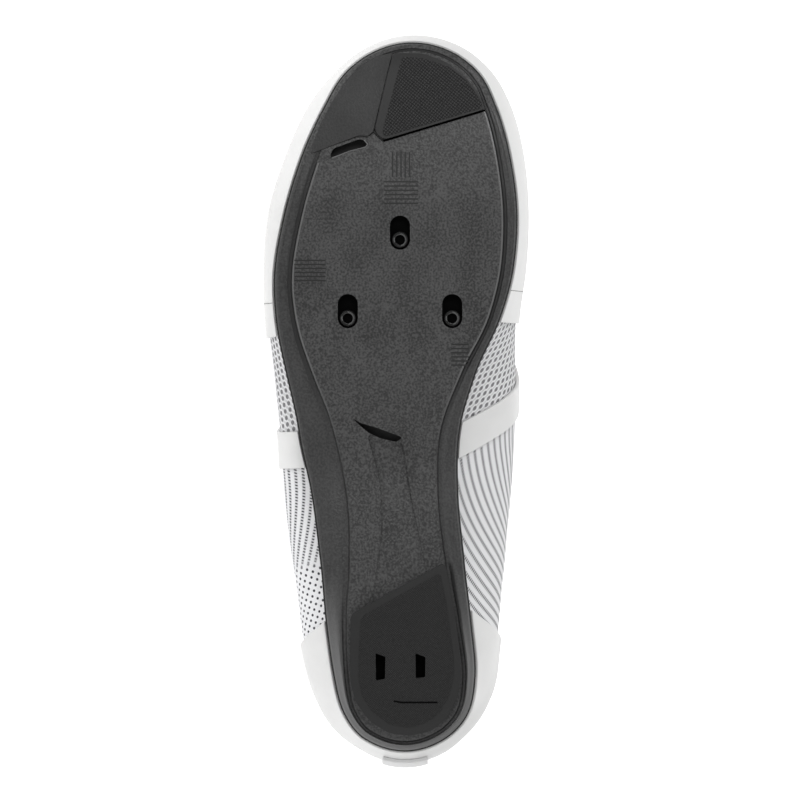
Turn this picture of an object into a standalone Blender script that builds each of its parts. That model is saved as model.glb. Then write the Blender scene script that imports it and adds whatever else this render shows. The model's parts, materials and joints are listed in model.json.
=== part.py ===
"""Cycling shoe for the right foot, lying empty on its outer side.

The shoe is modelled in its own frame: X from heel to toe, Y from the outer (lateral) side to the
inner (medial) side, Z up from the plane under heel and ball. At the end it is laid down on the
stable side that its own weight finds. All lengths are in metres.
"""

import math
from functools import lru_cache

import bmesh
import bpy
import numpy as np
from mathutils import Matrix, Vector

# Lengths and widths
HEEL_START = 0.0025
UPPER_LENGTH = 0.2856
UPPER_WIDTH = 0.1009
HEEL_OVERHANG = 0.0040
SOLE_LENGTH = 0.2797
SOLE_WIDTH = 0.0942
COLLAR_WIDTH = 0.0640
COLLAR_SETBACK = 0.0075
THROAT_START = 0.6566
THROAT_RADIUS = 0.0115

# Heights
BALL_CLEARANCE = 0.0012
WAIST_RISE = 0.0070
TOE_SPRING = 0.0140
RIM_HEIGHT = 0.0065
ARCH_WRAP = 0.0030
INSTEP_HEIGHT = 0.0970
BULGE_HEIGHT = 0.0300
CROWN_RISE = 0.0600

# Thicknesses and clearances
GAP = 0.0003
PLATE = 0.0042
PLATE_STEP = 0.0012
RIM_SHELF = 0.0030
EDGE_ROUND = 0.0008
HEEL_PAD = 0.0040
TOE_PAD = 0.0016
INSOLE = 0.0035
UPPER_WALL = 0.0020
FILM = 0.0009
FILM_GAP = 0.0006
COUNTER = 0.0011
TAB = 0.0010
TAB_WIDTH = 0.0165
STRAP = 0.0018
TONGUE = 0.0040
TONGUE_REACH = 0.0220
TONGUE_LEAN = math.radians(32.0)
STRAP_TIP = 0.035

# Cleat fixing and vents
SLOT_LENGTH = 0.0134
SLOT_WIDTH = 0.0079
SLOT_DEPTH = 0.0030
NUT_RADIUS = 0.0033
NUT_BORE = 0.0021
NUT_HEIGHT = 0.0018
NUT_SHIFT = 0.0028
CLEAT_BASE = 0.0410
CLEAT_HEIGHT = 0.0308
REAR_SLOTS_AT = 0.6199
VENT_AT = (0.8488, -0.2134)
VENT_SIZE = (0.0152, 0.0043)
VENT_TURN = math.radians(71.0)
SLIT_AT = (0.4516, -0.0924)
SLIT_SIZE = (0.0195, 0.0026)
SLIT_TURN = math.radians(110.0)
CHANNEL_DEPTH = 0.0016
PAD_SLOT_SIZE = (0.0108, 0.0035)
PAD_CORNER = 0.0022

# Outline tables: place along the length, then half widths as shares of the named width
SOLE_ROWS = [
    (0.020, 0.160, 0.200),
    (0.050, 0.230, 0.280),
    (0.100, 0.275, 0.315),
    (0.180, 0.310, 0.300),
    (0.270, 0.335, 0.270),
    (0.360, 0.370, 0.245),
    (0.450, 0.425, 0.250),
    (0.530, 0.475, 0.315),
    (0.610, 0.520, 0.420),
    (0.680, 0.525, 0.475),
    (0.760, 0.482, 0.490),
    (0.840, 0.410, 0.460),
    (0.910, 0.315, 0.400),
    (0.960, 0.220, 0.320),
    (0.985, 0.120, 0.225),
]
BULGE_ROWS = [
    (0.015, 0.130, 0.170),
    (0.040, 0.230, 0.255),
    (0.090, 0.320, 0.345),
    (0.160, 0.375, 0.380),
    (0.250, 0.410, 0.405),
    (0.340, 0.445, 0.430),
    (0.430, 0.464, 0.450),
    (0.520, 0.487, 0.455),
    (0.610, 0.515, 0.455),
    (0.680, 0.520, 0.480),
    (0.760, 0.500, 0.490),
    (0.840, 0.430, 0.470),
    (0.910, 0.335, 0.415),
    (0.960, 0.215, 0.325),
    (0.985, 0.115, 0.230),
]
COLLAR_ROWS = [
    (0.015, 0.180, 0.180),
    (0.040, 0.300, 0.300),
    (0.090, 0.420, 0.415),
    (0.160, 0.485, 0.480),
    (0.250, 0.500, 0.490),
    (0.340, 0.440, 0.430),
    (0.400, 0.325, 0.320),
    (0.430, 0.275, 0.275),
    (0.520, 0.235, 0.235),
    (0.610, 0.200, 0.200),
    (0.660, 0.180, 0.180),
]

# Side view of the sole: shares of the heel step, the waist rise, the toe spring, the rim height
# on each side, the arch wrap, and how far in from the edge the stiff plate's step lies
SIDE_COLUMNS = ("heel", "waist", "toe", "rim", "arch", "plate_lateral", "plate_medial")
SIDE_ROWS = [
    (0.000, 1.00, 0.35, 0.00, 1.20, 0.00, 0.040, 0.040),
    (0.050, 1.00, 0.06, 0.00, 1.20, 0.00, 0.045, 0.045),
    (0.080, 1.00, 0.00, 0.00, 1.20, 0.00, 0.052, 0.048),
    (0.200, 1.00, 0.00, 0.00, 1.20, 0.00, 0.090, 0.065),
    (0.250, 1.00, 0.10, 0.00, 1.20, 0.15, 0.112, 0.074),
    (0.330, 0.80, 0.50, 0.00, 1.15, 0.60, 0.138, 0.082),
    (0.420, 0.50, 1.00, 0.00, 1.05, 1.00, 0.145, 0.080),
    (0.520, 0.10, 0.62, 0.00, 1.00, 0.50, 0.105, 0.055),
    (0.580, 0.00, 0.22, 0.00, 1.00, 0.20, 0.084, 0.042),
    (0.660, 0.00, 0.00, 0.00, 1.00, 0.00, 0.072, 0.048),
    (0.760, 0.00, 0.00, 0.00, 1.00, 0.00, 0.070, 0.055),
    (0.840, 0.00, 0.00, 0.14, 0.95, 0.00, 0.068, 0.052),
    (0.910, 0.00, 0.00, 0.38, 0.85, 0.00, 0.055, 0.045),
    (0.960, 0.00, 0.00, 0.64, 0.75, 0.00, 0.042, 0.040),
    (1.000, 0.00, 0.00, 1.00, 0.65, 0.00, 0.036, 0.036),
]

# Ribs of the upper: height of the widest line on each side (shares of the bulge height), the
# shoulder's place between the widest line and the top edge (inward and upward shares), the top
# edge's height and the crown above it (shares of the instep height and the crown rise)
RIB_COLUMNS = (
    "bulge_lateral", "bulge_medial", "in_lateral", "up_lateral", "in_medial", "up_medial",
    "edge_height", "crown",
)
RIB_ROWS = [
    (0.000, 1.05, 1.05, 0.85, 0.62, 0.85, 0.62, 0.885, 0.90),
    (0.040, 1.00, 1.05, 0.60, 0.58, 0.60, 0.58, 0.860, 0.95),
    (0.090, 0.95, 1.05, 0.42, 0.52, 0.45, 0.52, 0.790, 1.00),
    (0.160, 0.90, 1.08, 0.34, 0.50, 0.40, 0.50, 0.715, 1.00),
    (0.250, 0.86, 1.15, 0.32, 0.50, 0.38, 0.50, 0.690, 0.90),
    (0.340, 0.82, 1.30, 0.32, 0.52, 0.38, 0.54, 0.800, 0.50),
    (0.400, 0.79, 1.38, 0.33, 0.54, 0.37, 0.57, 0.945, 0.18),
    (0.430, 0.77, 1.38, 0.33, 0.55, 0.36, 0.58, 0.985, 0.10),
    (0.520, 0.70, 1.12, 0.34, 0.60, 0.36, 0.62, 0.890, 0.09),
    (0.610, 0.62, 0.85, 0.35, 0.66, 0.36, 0.67, 0.770, 0.08),
    (0.680, 0.58, 0.64, 0.34, 0.70, 0.35, 0.70, 0.690, 0.08),
    (0.760, 0.58, 0.60, 0.33, 0.72, 0.33, 0.72, 0.670, 0.08),
    (0.840, 0.68, 0.70, 0.30, 0.70, 0.30, 0.70, 0.658, 0.08),
    (0.910, 0.78, 0.80, 0.27, 0.66, 0.27, 0.66, 0.652, 0.08),
    (1.000, 0.95, 0.95, 0.24, 0.61, 0.24, 0.61, 0.648, 0.08),
]

# Outlines in plan, as shares of the sole's length from its heel and of its width from its middle
TOE_PAD_OUTLINE = [
    (0.9778, 0.0000), (0.9760, 0.1168), (0.9510, 0.2389), (0.9171, 0.3238),
    (0.8974, 0.3556), (0.8588, -0.0711), (0.8699, -0.1083),
]
HEEL_PAD_OUTLINE = [
    (0.1938, -0.2049), (0.2671, 0.1837), (0.1755, 0.2346), (0.1205, 0.2548),
    (0.0840, 0.2431), (0.0515, 0.1921), (0.0347, 0.1338), (0.0250, 0.0340),
    (0.0318, -0.0669), (0.0515, -0.1380), (0.0840, -0.1921), (0.1137, -0.2091),
]
CHANNEL_OUTLINE = [
    (0.4423, -0.1486), (0.4179, -0.1125), (0.3768, -0.0796), (0.3050, -0.0796),
    (0.2628, -0.0966), (0.2735, 0.1008), (0.2992, 0.0839), (0.3600, 0.0456),
    (0.4380, 0.0149),
]
PAD_SLOTS = [(0.1216, -0.0817), (0.1233, 0.0860)]

# Film panels: where they end along the shoe, and how far they rise between sole and top edge
RAND_LATERAL_END, RAND_MEDIAL_END = 0.585, 0.605
RAND_TOP = 0.46
COUNTER_LATERAL_END, COUNTER_MEDIAL_END = 0.185, 0.200
COUNTER_TOP = 0.62
COUNTER_SWEEP = 0.055
PANEL_FOOT = 0.03
TAB_FOOT, TAB_TOP = 0.10, 0.97

# Bands and straps: the place along the shoe of the centre line at the lateral foot, over the
# instep and at the medial foot, and half the width as a share of the upper's length
BAND_LATERAL = (0.425, 0.445, 0.490)
BAND_MEDIAL = (0.437, 0.530, 0.600)
BAND_MIDDLE = 0.45
BAND_HALF = 0.026
BAND_TOP = 0.93
STRAP_COLUMNS = ("lateral", "middle", "medial", "half", "start", "end")
STRAP_ROWS = {
    "strap_instep": (0.515, 0.555, 0.575, 0.032, -0.62, 0.50),
    "strap_ankle": (0.435, 0.465, 0.475, 0.032, -0.62, 0.50),
}
STRAP_FOOT = 0.60

# The tongue: its front and back end along the shoe, and half its width across the instep
TONGUE_FRONT, TONGUE_BACK = 0.66, 0.412
TONGUE_HALF = [(0.0, 0.30), (0.45, 0.31), (0.58, 0.27), (0.70, 0.20), (0.90, 0.21), (1.0, 0.17)]

# Mesh counts and small steps
STATIONS = 44
RIB_STEPS = 13
RIB_CROWDING = 1.6
THROAT_SHARE = 0.25
SLAB_STATIONS = 28
NUT_SIDES = 20
COUNTER_COLUMNS = 15
BAND_COLUMNS = 4
STRAP_STEPS, STRAP_FACES = 18, 4
TONGUE_STEPS, TONGUE_RISE_STEPS, TONGUE_FACES = 14, 6, 7
OUTLINE_STEP = 0.01
SURFACE_STEP = 0.004
INSIDE = (0.14, 0.0, 0.035)
BELOW, ABOVE = -0.05, 0.08

LATERAL, MEDIAL = -1, 1

# Colour, roughness, metallic value and density (kg per cubic metre) of each material
MATERIALS = {
    "composite": ((0.060, 0.060, 0.060), 0.42, 0.0, 1100.0),
    "pad_rubber": ((0.026, 0.026, 0.026), 0.70, 0.0, 1200.0),
    "nut_steel": ((0.020, 0.020, 0.020), 0.25, 1.0, 7850.0),
    "knit": ((0.870, 0.870, 0.870), 0.90, 0.0, 1100.0),
    "film": ((0.700, 0.700, 0.700), 0.45, 0.0, 1100.0),
    "strap": ((0.760, 0.760, 0.760), 0.55, 0.0, 1100.0),
    "lining": ((0.300, 0.300, 0.300), 0.95, 0.0, 300.0),
}


class Profile:
    """A smooth curve through the rows of a table: one column's value anywhere along the shoe.

    It never swings past its rows, and it is level where two rows are equal.
    """

    def __init__(self, places, values):
        self.places = np.array(places, float)
        self.values = np.array(values, float)
        steps = np.diff(self.places)
        rises = np.diff(self.values) / steps
        self.slopes = np.concatenate([rises[:1], np.zeros(len(rises) - 1), rises[-1:]])
        for k in range(1, len(rises)):
            before, after = rises[k - 1], rises[k]
            if before * after > 0.0:
                heavy, light = 2 * steps[k] + steps[k - 1], steps[k] + 2 * steps[k - 1]
                self.slopes[k] = (heavy + light) / (heavy / before + light / after)

    def __call__(self, at):
        at = min(max(at, self.places[0]), self.places[-1])
        low = int(np.searchsorted(self.places, at, side="right")) - 1
        low = min(low, len(self.places) - 2)
        step = self.places[low + 1] - self.places[low]
        s = (at - self.places[low]) / step
        return (
            (2 * s**3 - 3 * s**2 + 1) * self.values[low]
            + (s**3 - 2 * s**2 + s) * step * self.slopes[low]
            + (3 * s**2 - 2 * s**3) * self.values[low + 1]
            + (s**3 - s**2) * step * self.slopes[low + 1]
        )


def profiles(columns, rows):
    """One Profile for each named column of a table whose first column is the place."""
    places = [row[0] for row in rows]
    return {name: Profile(places, [row[k + 1] for row in rows]) for k, name in enumerate(columns)}


def turn_of(at):
    """The angle round an outline, 0 at the heel and pi at the toe, for a place along it."""
    return math.acos(max(-1.0, min(1.0, 1.0 - 2.0 * at)))


def place_of(turn):
    """The place along an outline, 0 to 1, for an angle round it."""
    return (1.0 - math.cos(turn)) / 2.0


class Outline:
    """A closed outline, round at heel and toe, from half widths on each side."""

    def __init__(self, rows, start, length, width):
        places = [row[0] for row in rows]
        full = [(row[1] + row[2]) * width / 2.0 / math.sin(turn_of(row[0])) for row in rows]
        middle = [(row[2] - row[1]) * width / 2.0 for row in rows]
        self.start = start
        self.length = length
        self.full = Profile(places, full)
        self.middle = Profile(places, middle)

    def point(self, turn):
        """The point at an angle: positive turns on the medial side, negative on the lateral."""
        at = place_of(turn)
        y = self.middle(at) + self.full(at) * math.sin(turn)
        return np.array([self.start + at * self.length, y])

    def inset(self, turn, depth):
        """The point that lies a depth inward of the outline."""
        along = self.point(turn + OUTLINE_STEP) - self.point(turn - OUTLINE_STEP)
        along /= np.linalg.norm(along)
        return self.point(turn) + depth * np.array([along[1], -along[0]])


SIDE = profiles(SIDE_COLUMNS, SIDE_ROWS)
RIB = profiles(RIB_COLUMNS, RIB_ROWS)
SOLE_EDGE = Outline(SOLE_ROWS, HEEL_START + HEEL_OVERHANG, SOLE_LENGTH, SOLE_WIDTH)
BULGE = Outline(BULGE_ROWS, HEEL_START, UPPER_LENGTH, UPPER_WIDTH)
COLLAR = Outline(COLLAR_ROWS, COLLAR_SETBACK, UPPER_LENGTH, COLLAR_WIDTH)


def on_sole(point):
    """A point in plan from its shares of the sole's length and width."""
    return (SOLE_EDGE.start + point[0] * SOLE_LENGTH, point[1] * SOLE_WIDTH)


def sole_place(x):
    """The place along the sole, 0 to 1, of an X."""
    return min(max((x - SOLE_EDGE.start) / SOLE_LENGTH, 0.0), 1.0)


def bottom(x):
    """Height of the sole's border from below."""
    at = sole_place(x)
    heel_step = HEEL_PAD + GAP + PLATE_STEP - BALL_CLEARANCE
    return (
        BALL_CLEARANCE
        + heel_step * SIDE["heel"](at)
        + WAIST_RISE * SIDE["waist"](at)
        + TOE_SPRING * SIDE["toe"](at)
    )


def rim(x, turn):
    """Height of the sole's rim, where the upper stands."""
    at = sole_place(x)
    wrap = ARCH_WRAP * SIDE["arch"](at) if turn > 0 else 0.0
    return bottom(x) + RIM_HEIGHT * SIDE["rim"](at) + wrap


def footbed(x):
    """Height of the sole's inner floor."""
    return bottom(x) + PLATE


def spline(points):
    """Lengths along the chords of a row of points, and the direction of the curve at each."""
    points = np.array(points)
    chords = np.linalg.norm(np.diff(points, axis=0), axis=1)
    along = np.concatenate([[0.0], np.cumsum(chords)])
    rises = np.diff(points, axis=0) / chords[:, None]
    before, after = chords[:-1, None], chords[1:, None]
    inner = (rises[:-1] * after + rises[1:] * before) / (before + after)
    first = 1.5 * rises[0] - 0.5 * inner[0]
    last = 1.5 * rises[-1] - 0.5 * inner[-1]
    return points, along, np.vstack([first, inner, last])


def on_spline(curve, distance):
    """The point of a curve at a distance along its chords."""
    points, along, slopes = curve
    low = int(np.searchsorted(along, distance, side="right")) - 1
    low = min(max(low, 0), len(along) - 2)
    step = along[low + 1] - along[low]
    s = (distance - along[low]) / step
    return (
        (2 * s**3 - 3 * s**2 + 1) * points[low]
        + (s**3 - 2 * s**2 + s) * step * slopes[low]
        + (3 * s**2 - 2 * s**3) * points[low + 1]
        + (s**3 - s**2) * step * slopes[low + 1]
    )


def throat_start():
    """The X at which the throat's straight sides end in front."""
    return HEEL_START + THROAT_START * UPPER_LENGTH


def edge_point(turn):
    """A point of the top edge: the collar, the throat's sides and its round front end."""
    throat = throat_start()
    start = (throat - COLLAR_SETBACK) / UPPER_LENGTH
    at = place_of(turn)
    side = 1.0 if turn > 0 else -1.0
    height = INSTEP_HEIGHT * RIB["edge_height"](at)
    if at <= start:
        x, y = COLLAR.point(turn)
        return np.array([x, y, height])
    swing = (abs(turn) - turn_of(start)) / (math.pi - turn_of(start)) * math.pi / 2.0
    x = throat + THROAT_RADIUS * math.sin(swing)
    return np.array([x, side * THROAT_RADIUS * math.cos(swing), height])


def rib_points(turn):
    """Foot, bulge, shoulder and top edge of one rib of the upper."""
    at = place_of(turn)
    side = "medial" if turn > 0 else "lateral"
    foot_xy = SOLE_EDGE.inset(turn, EDGE_ROUND)
    foot = np.array([*foot_xy, rim(foot_xy[0], turn) + GAP])
    bulge = np.array([*BULGE.point(turn), BULGE_HEIGHT * RIB["bulge_" + side](at)])
    edge = edge_point(turn)
    inward, upward = RIB["in_" + side](at), RIB["up_" + side](at)
    shoulder = bulge + (edge - bulge) * np.array([inward, inward, upward])
    return foot, bulge, shoulder, edge


@lru_cache(maxsize=None)
def section(turn):
    """The curve across the shoe, from the lateral foot over the crown to the medial foot."""
    turn = max(abs(turn), 1e-6)
    lateral, medial = rib_points(-turn), rib_points(turn)
    crown = (lateral[3] + medial[3]) / 2.0
    crown[2] += CROWN_RISE * RIB["crown"](place_of(turn))
    crown[0] = min(crown[0], throat_start())
    points, along, slopes = spline([*lateral, crown, *medial[::-1]])
    slopes[1] = (0.0, 0.0, 1.0)
    slopes[7] = (0.0, 0.0, -1.0)
    return points, along, slopes


def upper_point(turn, rise):
    """A point of the upper's outer surface, rise 0 at the sole and 1 at the top edge."""
    curve = section(abs(turn))
    along = curve[1]
    if turn < 0:
        return on_spline(curve, rise * along[3])
    return on_spline(curve, along[8] - rise * (along[8] - along[5]))


def across_point(turn, across):
    """A point of the closed form over the instep, across -1 at the lateral foot, 1 at the medial."""
    curve = section(turn)
    along = curve[1]
    if abs(across) <= THROAT_SHARE:
        share = (across + THROAT_SHARE) / (2.0 * THROAT_SHARE)
        return on_spline(curve, along[3] + share * (along[5] - along[3]))
    rise = (1.0 - abs(across)) / (1.0 - THROAT_SHARE)
    return upper_point(turn * math.copysign(1.0, across), rise)


def offset_point(surface, first, second, distance):
    """A point that stands off a surface, outward, by a distance."""
    step = SURFACE_STEP
    along = surface(first + step, second) - surface(first - step, second)
    up = surface(first, second + step) - surface(first, second - step)
    normal = np.cross(up, along)
    normal /= np.linalg.norm(normal)
    return surface(first, second) + distance * normal


def rises_between(low, high):
    """The upper's own rows between two heights, closer together at the bulge, with both ends."""
    rows = [(n / RIB_STEPS) ** RIB_CROWDING for n in range(RIB_STEPS + 1)]
    margin = 0.02 if low > 0.0 else 0.0
    return [low, *[rise for rise in rows if low + margin < rise < high - margin], high]


def upper_offset(turn, rise, distance):
    """Offset from the upper, outward on both sides."""
    rise = min(max(rise, SURFACE_STEP), 1.0 - SURFACE_STEP)
    return offset_point(upper_point, turn, rise, distance)


def across_offset(turn, across, distance):
    """Offset from the closed form over the instep, outward."""
    return offset_point(across_point, turn, across, -distance)


def make_material(name):
    """A plain principled material with the part's colour, roughness and metallic value."""
    colour, roughness, metallic, _ = MATERIALS[name]
    material = bpy.data.materials.new(name)
    material.use_nodes = True
    shader = material.node_tree.nodes["Principled BSDF"]
    shader.inputs["Base Color"].default_value = (*colour, 1.0)
    shader.inputs["Roughness"].default_value = roughness
    shader.inputs["Metallic"].default_value = metallic
    return material


def add_object(name, mesh, material, collection):
    """An object with its material, in its collection."""
    if material:
        mesh.materials.append(material)
    thing = bpy.data.objects.new(name, mesh)
    collection.objects.link(thing)
    return thing


def smooth_shading(thing, angle=40.0):
    """Smooth faces, sharp only at real edges."""
    thing.data.shade_smooth()
    thing.data.set_sharp_from_angle(angle=math.radians(angle))


def grid_mesh(name, rows, closed=False):
    """A surface of quads through rows of points; closed joins each row's end to its start."""
    bm = bmesh.new()
    grid = [[bm.verts.new(point) for point in row] for row in rows]
    count = len(rows[0])
    for low, high in zip(grid[:-1], grid[1:]):
        for k in range(count if closed else count - 1):
            n = (k + 1) % count
            bm.faces.new((low[k], low[n], high[n], high[k]))
    bmesh.ops.recalc_face_normals(bm, faces=bm.faces)
    mesh = bpy.data.meshes.new(name)
    bm.to_mesh(mesh)
    bm.free()
    return mesh


def face_outward(mesh):
    """Turn an open surface's faces away from a point inside the shoe."""
    bm = bmesh.new()
    bm.from_mesh(mesh)
    outward = sum(
        face.calc_area() * face.normal.dot(face.calc_center_median() - Vector(INSIDE))
        for face in bm.faces
    )
    if outward < 0:
        bmesh.ops.reverse_faces(bm, faces=bm.faces)
    bm.to_mesh(mesh)
    bm.free()


def thicken(thing, thickness, side):
    """Give an open surface a wall, outward (1) or inward (-1)."""
    wall = thing.modifiers.new("wall", "SOLIDIFY")
    wall.thickness = thickness
    wall.offset = side
    wall.use_even_offset = True
    wall.use_quality_normals = True


def cut(thing, cutter, operation="DIFFERENCE"):
    """A Boolean with the exact solver."""
    boolean = thing.modifiers.new(cutter.name, "BOOLEAN")
    boolean.operation = operation
    boolean.solver = "EXACT"
    boolean.object = cutter


def prism(name, outline, low, high, collection):
    """A flat outline in plan, drawn up between two heights."""
    bm = bmesh.new()
    base = bm.faces.new([bm.verts.new((x, y, low)) for x, y in outline])
    drawn = bmesh.ops.extrude_face_region(bm, geom=[base])
    tops = [item for item in drawn["geom"] if isinstance(item, bmesh.types.BMVert)]
    bmesh.ops.translate(bm, verts=tops, vec=(0.0, 0.0, high - low))
    bmesh.ops.recalc_face_normals(bm, faces=bm.faces)
    mesh = bpy.data.meshes.new(name)
    bm.to_mesh(mesh)
    bm.free()
    thing = add_object(name, mesh, None, collection)
    thing.hide_render = True
    thing.display_type = "WIRE"
    return thing


def stadium(centre, length, width, turn=0.0, steps=8):
    """A slot's outline with round ends; its length lies along X, then is turned."""
    radius = width / 2.0
    points = []
    for end in (1.0, -1.0):
        for k in range(steps + 1):
            angle = -math.pi / 2.0 + math.pi * k / steps
            x = end * (length / 2.0 - radius) + end * radius * math.cos(angle)
            points.append((x, end * radius * math.sin(angle)))
    c, s = math.cos(turn), math.sin(turn)
    return [(centre[0] + c * x - s * y, centre[1] + s * x + c * y) for x, y in points]


def rounded(points, radius, steps=4):
    """An outline with its corners turned into arcs."""
    result = []
    count = len(points)
    for k in range(count):
        before = Vector(points[k - 1])
        corner = Vector(points[k])
        after = Vector(points[(k + 1) % count])
        reach = min(radius, (before - corner).length * 0.45, (after - corner).length * 0.45)
        start = corner + (before - corner).normalized() * reach
        end = corner + (after - corner).normalized() * reach
        for n in range(steps + 1):
            s = n / steps
            point = (1 - s) ** 2 * start + 2 * s * (1 - s) * corner + s**2 * end
            result.append((point.x, point.y))
    return result


def side_slab(name, low, high, collection, material=None):
    """A slab across the whole sole, between two heights that change along it."""
    turns = [math.pi * k / SLAB_STATIONS for k in range(SLAB_STATIONS + 1)]
    stations = [SOLE_EDGE.start + SOLE_LENGTH * place_of(turn) for turn in turns]
    outline = [(x, low(x)) for x in stations] + [(x, high(x)) for x in reversed(stations)]
    bm = bmesh.new()
    base = bm.faces.new([bm.verts.new((x, -SOLE_WIDTH, z)) for x, z in outline])
    drawn = bmesh.ops.extrude_face_region(bm, geom=[base])
    moved = [item for item in drawn["geom"] if isinstance(item, bmesh.types.BMVert)]
    bmesh.ops.translate(bm, verts=moved, vec=(0.0, 2.0 * SOLE_WIDTH, 0.0))
    bmesh.ops.recalc_face_normals(bm, faces=bm.faces)
    mesh = bpy.data.meshes.new(name)
    bm.to_mesh(mesh)
    bm.free()
    return add_object(name, mesh, material, collection)


def ring_solid(name, rings, material, collection):
    """A closed solid from rings round the shoe, filled across at the first and the last ring."""
    turns = [math.pi * k / STATIONS for k in range(-STATIONS, STATIONS)]
    bm = bmesh.new()
    grid = [[bm.verts.new(ring(turn)) for turn in turns] for ring in rings]
    count = len(turns)
    for low, high in zip(grid[:-1], grid[1:]):
        for k in range(count):
            n = (k + 1) % count
            bm.faces.new((low[k], low[n], high[n], high[k]))
    for ring in (grid[0], grid[-1]):
        for k in range(STATIONS):
            lateral = (ring[k], ring[k + 1])
            medial = (ring[(count - k) % count], ring[count - k - 1])
            corners = []
            for vert in (*lateral, *reversed(medial)):
                if vert not in corners:
                    corners.append(vert)
            bm.faces.new(corners)
    bmesh.ops.recalc_face_normals(bm, faces=bm.faces)
    mesh = bpy.data.meshes.new(name)
    bm.to_mesh(mesh)
    bm.free()
    return add_object(name, mesh, material, collection)


def plate_inset(turn):
    """How far in from the edge the stiff plate's step lies."""
    side = "plate_medial" if turn > 0 else "plate_lateral"
    if abs(turn) < 1e-6 or abs(abs(turn) - math.pi) < 1e-6:
        side = "plate_lateral"
    return SOLE_WIDTH * SIDE[side](place_of(turn))


def sole_ring(inset, height):
    """A ring of the sole at an inset from its edge and a height that follows its side view."""

    def ring(turn):
        depth = inset(turn) if callable(inset) else inset
        x, y = SOLE_EDGE.inset(turn, depth)
        return (x, y, height(x, turn))

    return ring


def make_outsole(collection, cutters, material):
    """The stiff sole: border, stepped plate, rounded side, shelf for the upper and inner floor."""
    rings = [
        sole_ring(lambda turn: plate_inset(turn) + PLATE_STEP / 2, lambda x, t: bottom(x) - PLATE_STEP),
        sole_ring(plate_inset, lambda x, t: bottom(x)),
        sole_ring(EDGE_ROUND, lambda x, t: bottom(x) + EDGE_ROUND),
        sole_ring(0.0, lambda x, t: bottom(x) + 3 * EDGE_ROUND),
        sole_ring(EDGE_ROUND / 3, rim),
        sole_ring(RIM_SHELF, rim),
        sole_ring(RIM_SHELF + GAP, lambda x, t: footbed(x)),
    ]
    sole = ring_solid("outsole", rings, material, collection)
    for name, (x, y) in cleat_places().items():
        shape = stadium((x, y), SLOT_LENGTH, SLOT_WIDTH)
        roof = bottom(x) - PLATE_STEP + SLOT_DEPTH
        cut(sole, prism("slot_" + name, shape, BELOW, roof, cutters))
    vent_shape = stadium(on_sole(VENT_AT), *VENT_SIZE, VENT_TURN)
    slit_shape = stadium(on_sole(SLIT_AT), *SLIT_SIZE, SLIT_TURN)
    cut(sole, prism("toe_vent", vent_shape, BELOW, ABOVE, cutters))
    cut(sole, prism("waist_slit", slit_shape, BELOW, ABOVE, cutters))
    channel = side_slab(
        "channel", lambda x: BELOW, lambda x: bottom(x) - PLATE_STEP + CHANNEL_DEPTH, cutters
    )
    channel.hide_render = True
    channel.display_type = "WIRE"
    plan = prism("channel_plan", map(on_sole, CHANNEL_OUTLINE), 2 * BELOW, ABOVE, cutters)
    cut(channel, plan, "INTERSECT")
    cut(sole, channel)
    smooth_shading(sole)
    return sole


def cleat_places():
    """Centres of the three cleat slots: one in front, two behind."""
    rear, middle = on_sole((REAR_SLOTS_AT, 0.0))
    return {
        "front": (rear + CLEAT_HEIGHT, middle),
        "lateral": (rear, middle - CLEAT_BASE / 2),
        "medial": (rear, middle + CLEAT_BASE / 2),
    }


def make_nuts(collection, material):
    """The three threaded inserts at the roofs of the cleat slots, as turned rings."""
    nuts = []
    for name, (x, y) in cleat_places().items():
        mesh = bpy.data.meshes.new("cleat_nut_" + name)
        bm = bmesh.new()
        corners = [
            (NUT_BORE, NUT_HEIGHT), (NUT_RADIUS, NUT_HEIGHT), (NUT_RADIUS, 0.0), (NUT_BORE, 0.0),
        ]
        verts = [bm.verts.new((r, 0.0, z)) for r, z in corners]
        for k in range(4):
            bm.edges.new((verts[k], verts[(k + 1) % 4]))
        bm.to_mesh(mesh)
        bm.free()
        nut = add_object("cleat_nut_" + name, mesh, material, collection)
        spin = nut.modifiers.new("turn", "SCREW")
        spin.steps = NUT_SIDES
        spin.render_steps = NUT_SIDES
        spin.use_merge_vertices = True
        spin.merge_threshold = 0.00001
        roof = bottom(x) - PLATE_STEP + SLOT_DEPTH
        nut.location = (x - NUT_SHIFT, y, roof - GAP - NUT_HEIGHT)
        nuts.append(nut)
    return nuts


def make_pad(name, outline, thickness, collection, cutters, material):
    """A walking pad that follows the plate's face, a gap below it."""
    pad = side_slab(
        name,
        lambda x: bottom(x) - PLATE_STEP - GAP - thickness,
        lambda x: bottom(x) - PLATE_STEP - GAP,
        collection,
        material,
    )
    corners = [on_sole(point) for point in outline]
    plan = prism(name + "_plan", rounded(corners, PAD_CORNER, 2), BELOW, ABOVE, cutters)
    cut(pad, plan, "INTERSECT")
    return pad


def make_insole(collection, material):
    """The removable insole in the sole's shallow cup."""
    lower = RIM_SHELF + 3 * GAP
    upper = lower + 2 * GAP
    rings = [
        sole_ring(lower, lambda x, t: footbed(x) + GAP),
        sole_ring(upper, lambda x, t: footbed(x) + GAP + INSOLE),
    ]
    insole = ring_solid("insole", rings, material, collection)
    smooth_shading(insole)
    return insole


def make_upper(collection, material):
    """The knitted upper: ribs from the sole's shelf over the bulge to the collar and throat."""
    turns = [math.pi * k / STATIONS for k in range(-STATIONS, STATIONS)]
    rows = [[upper_point(turn, rise) for turn in turns] for rise in rises_between(0.0, 1.0)]
    mesh = grid_mesh("upper", rows, closed=True)
    face_outward(mesh)
    upper = add_object("upper", mesh, material, collection)
    thicken(upper, UPPER_WALL, -1.0)
    smooth_shading(upper)
    return upper


def turns_between(start, end):
    """The upper's own stations between two angles."""
    step = math.pi / STATIONS
    return [k * step for k in range(2 * STATIONS + 1) if start <= k * step <= end]


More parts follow.
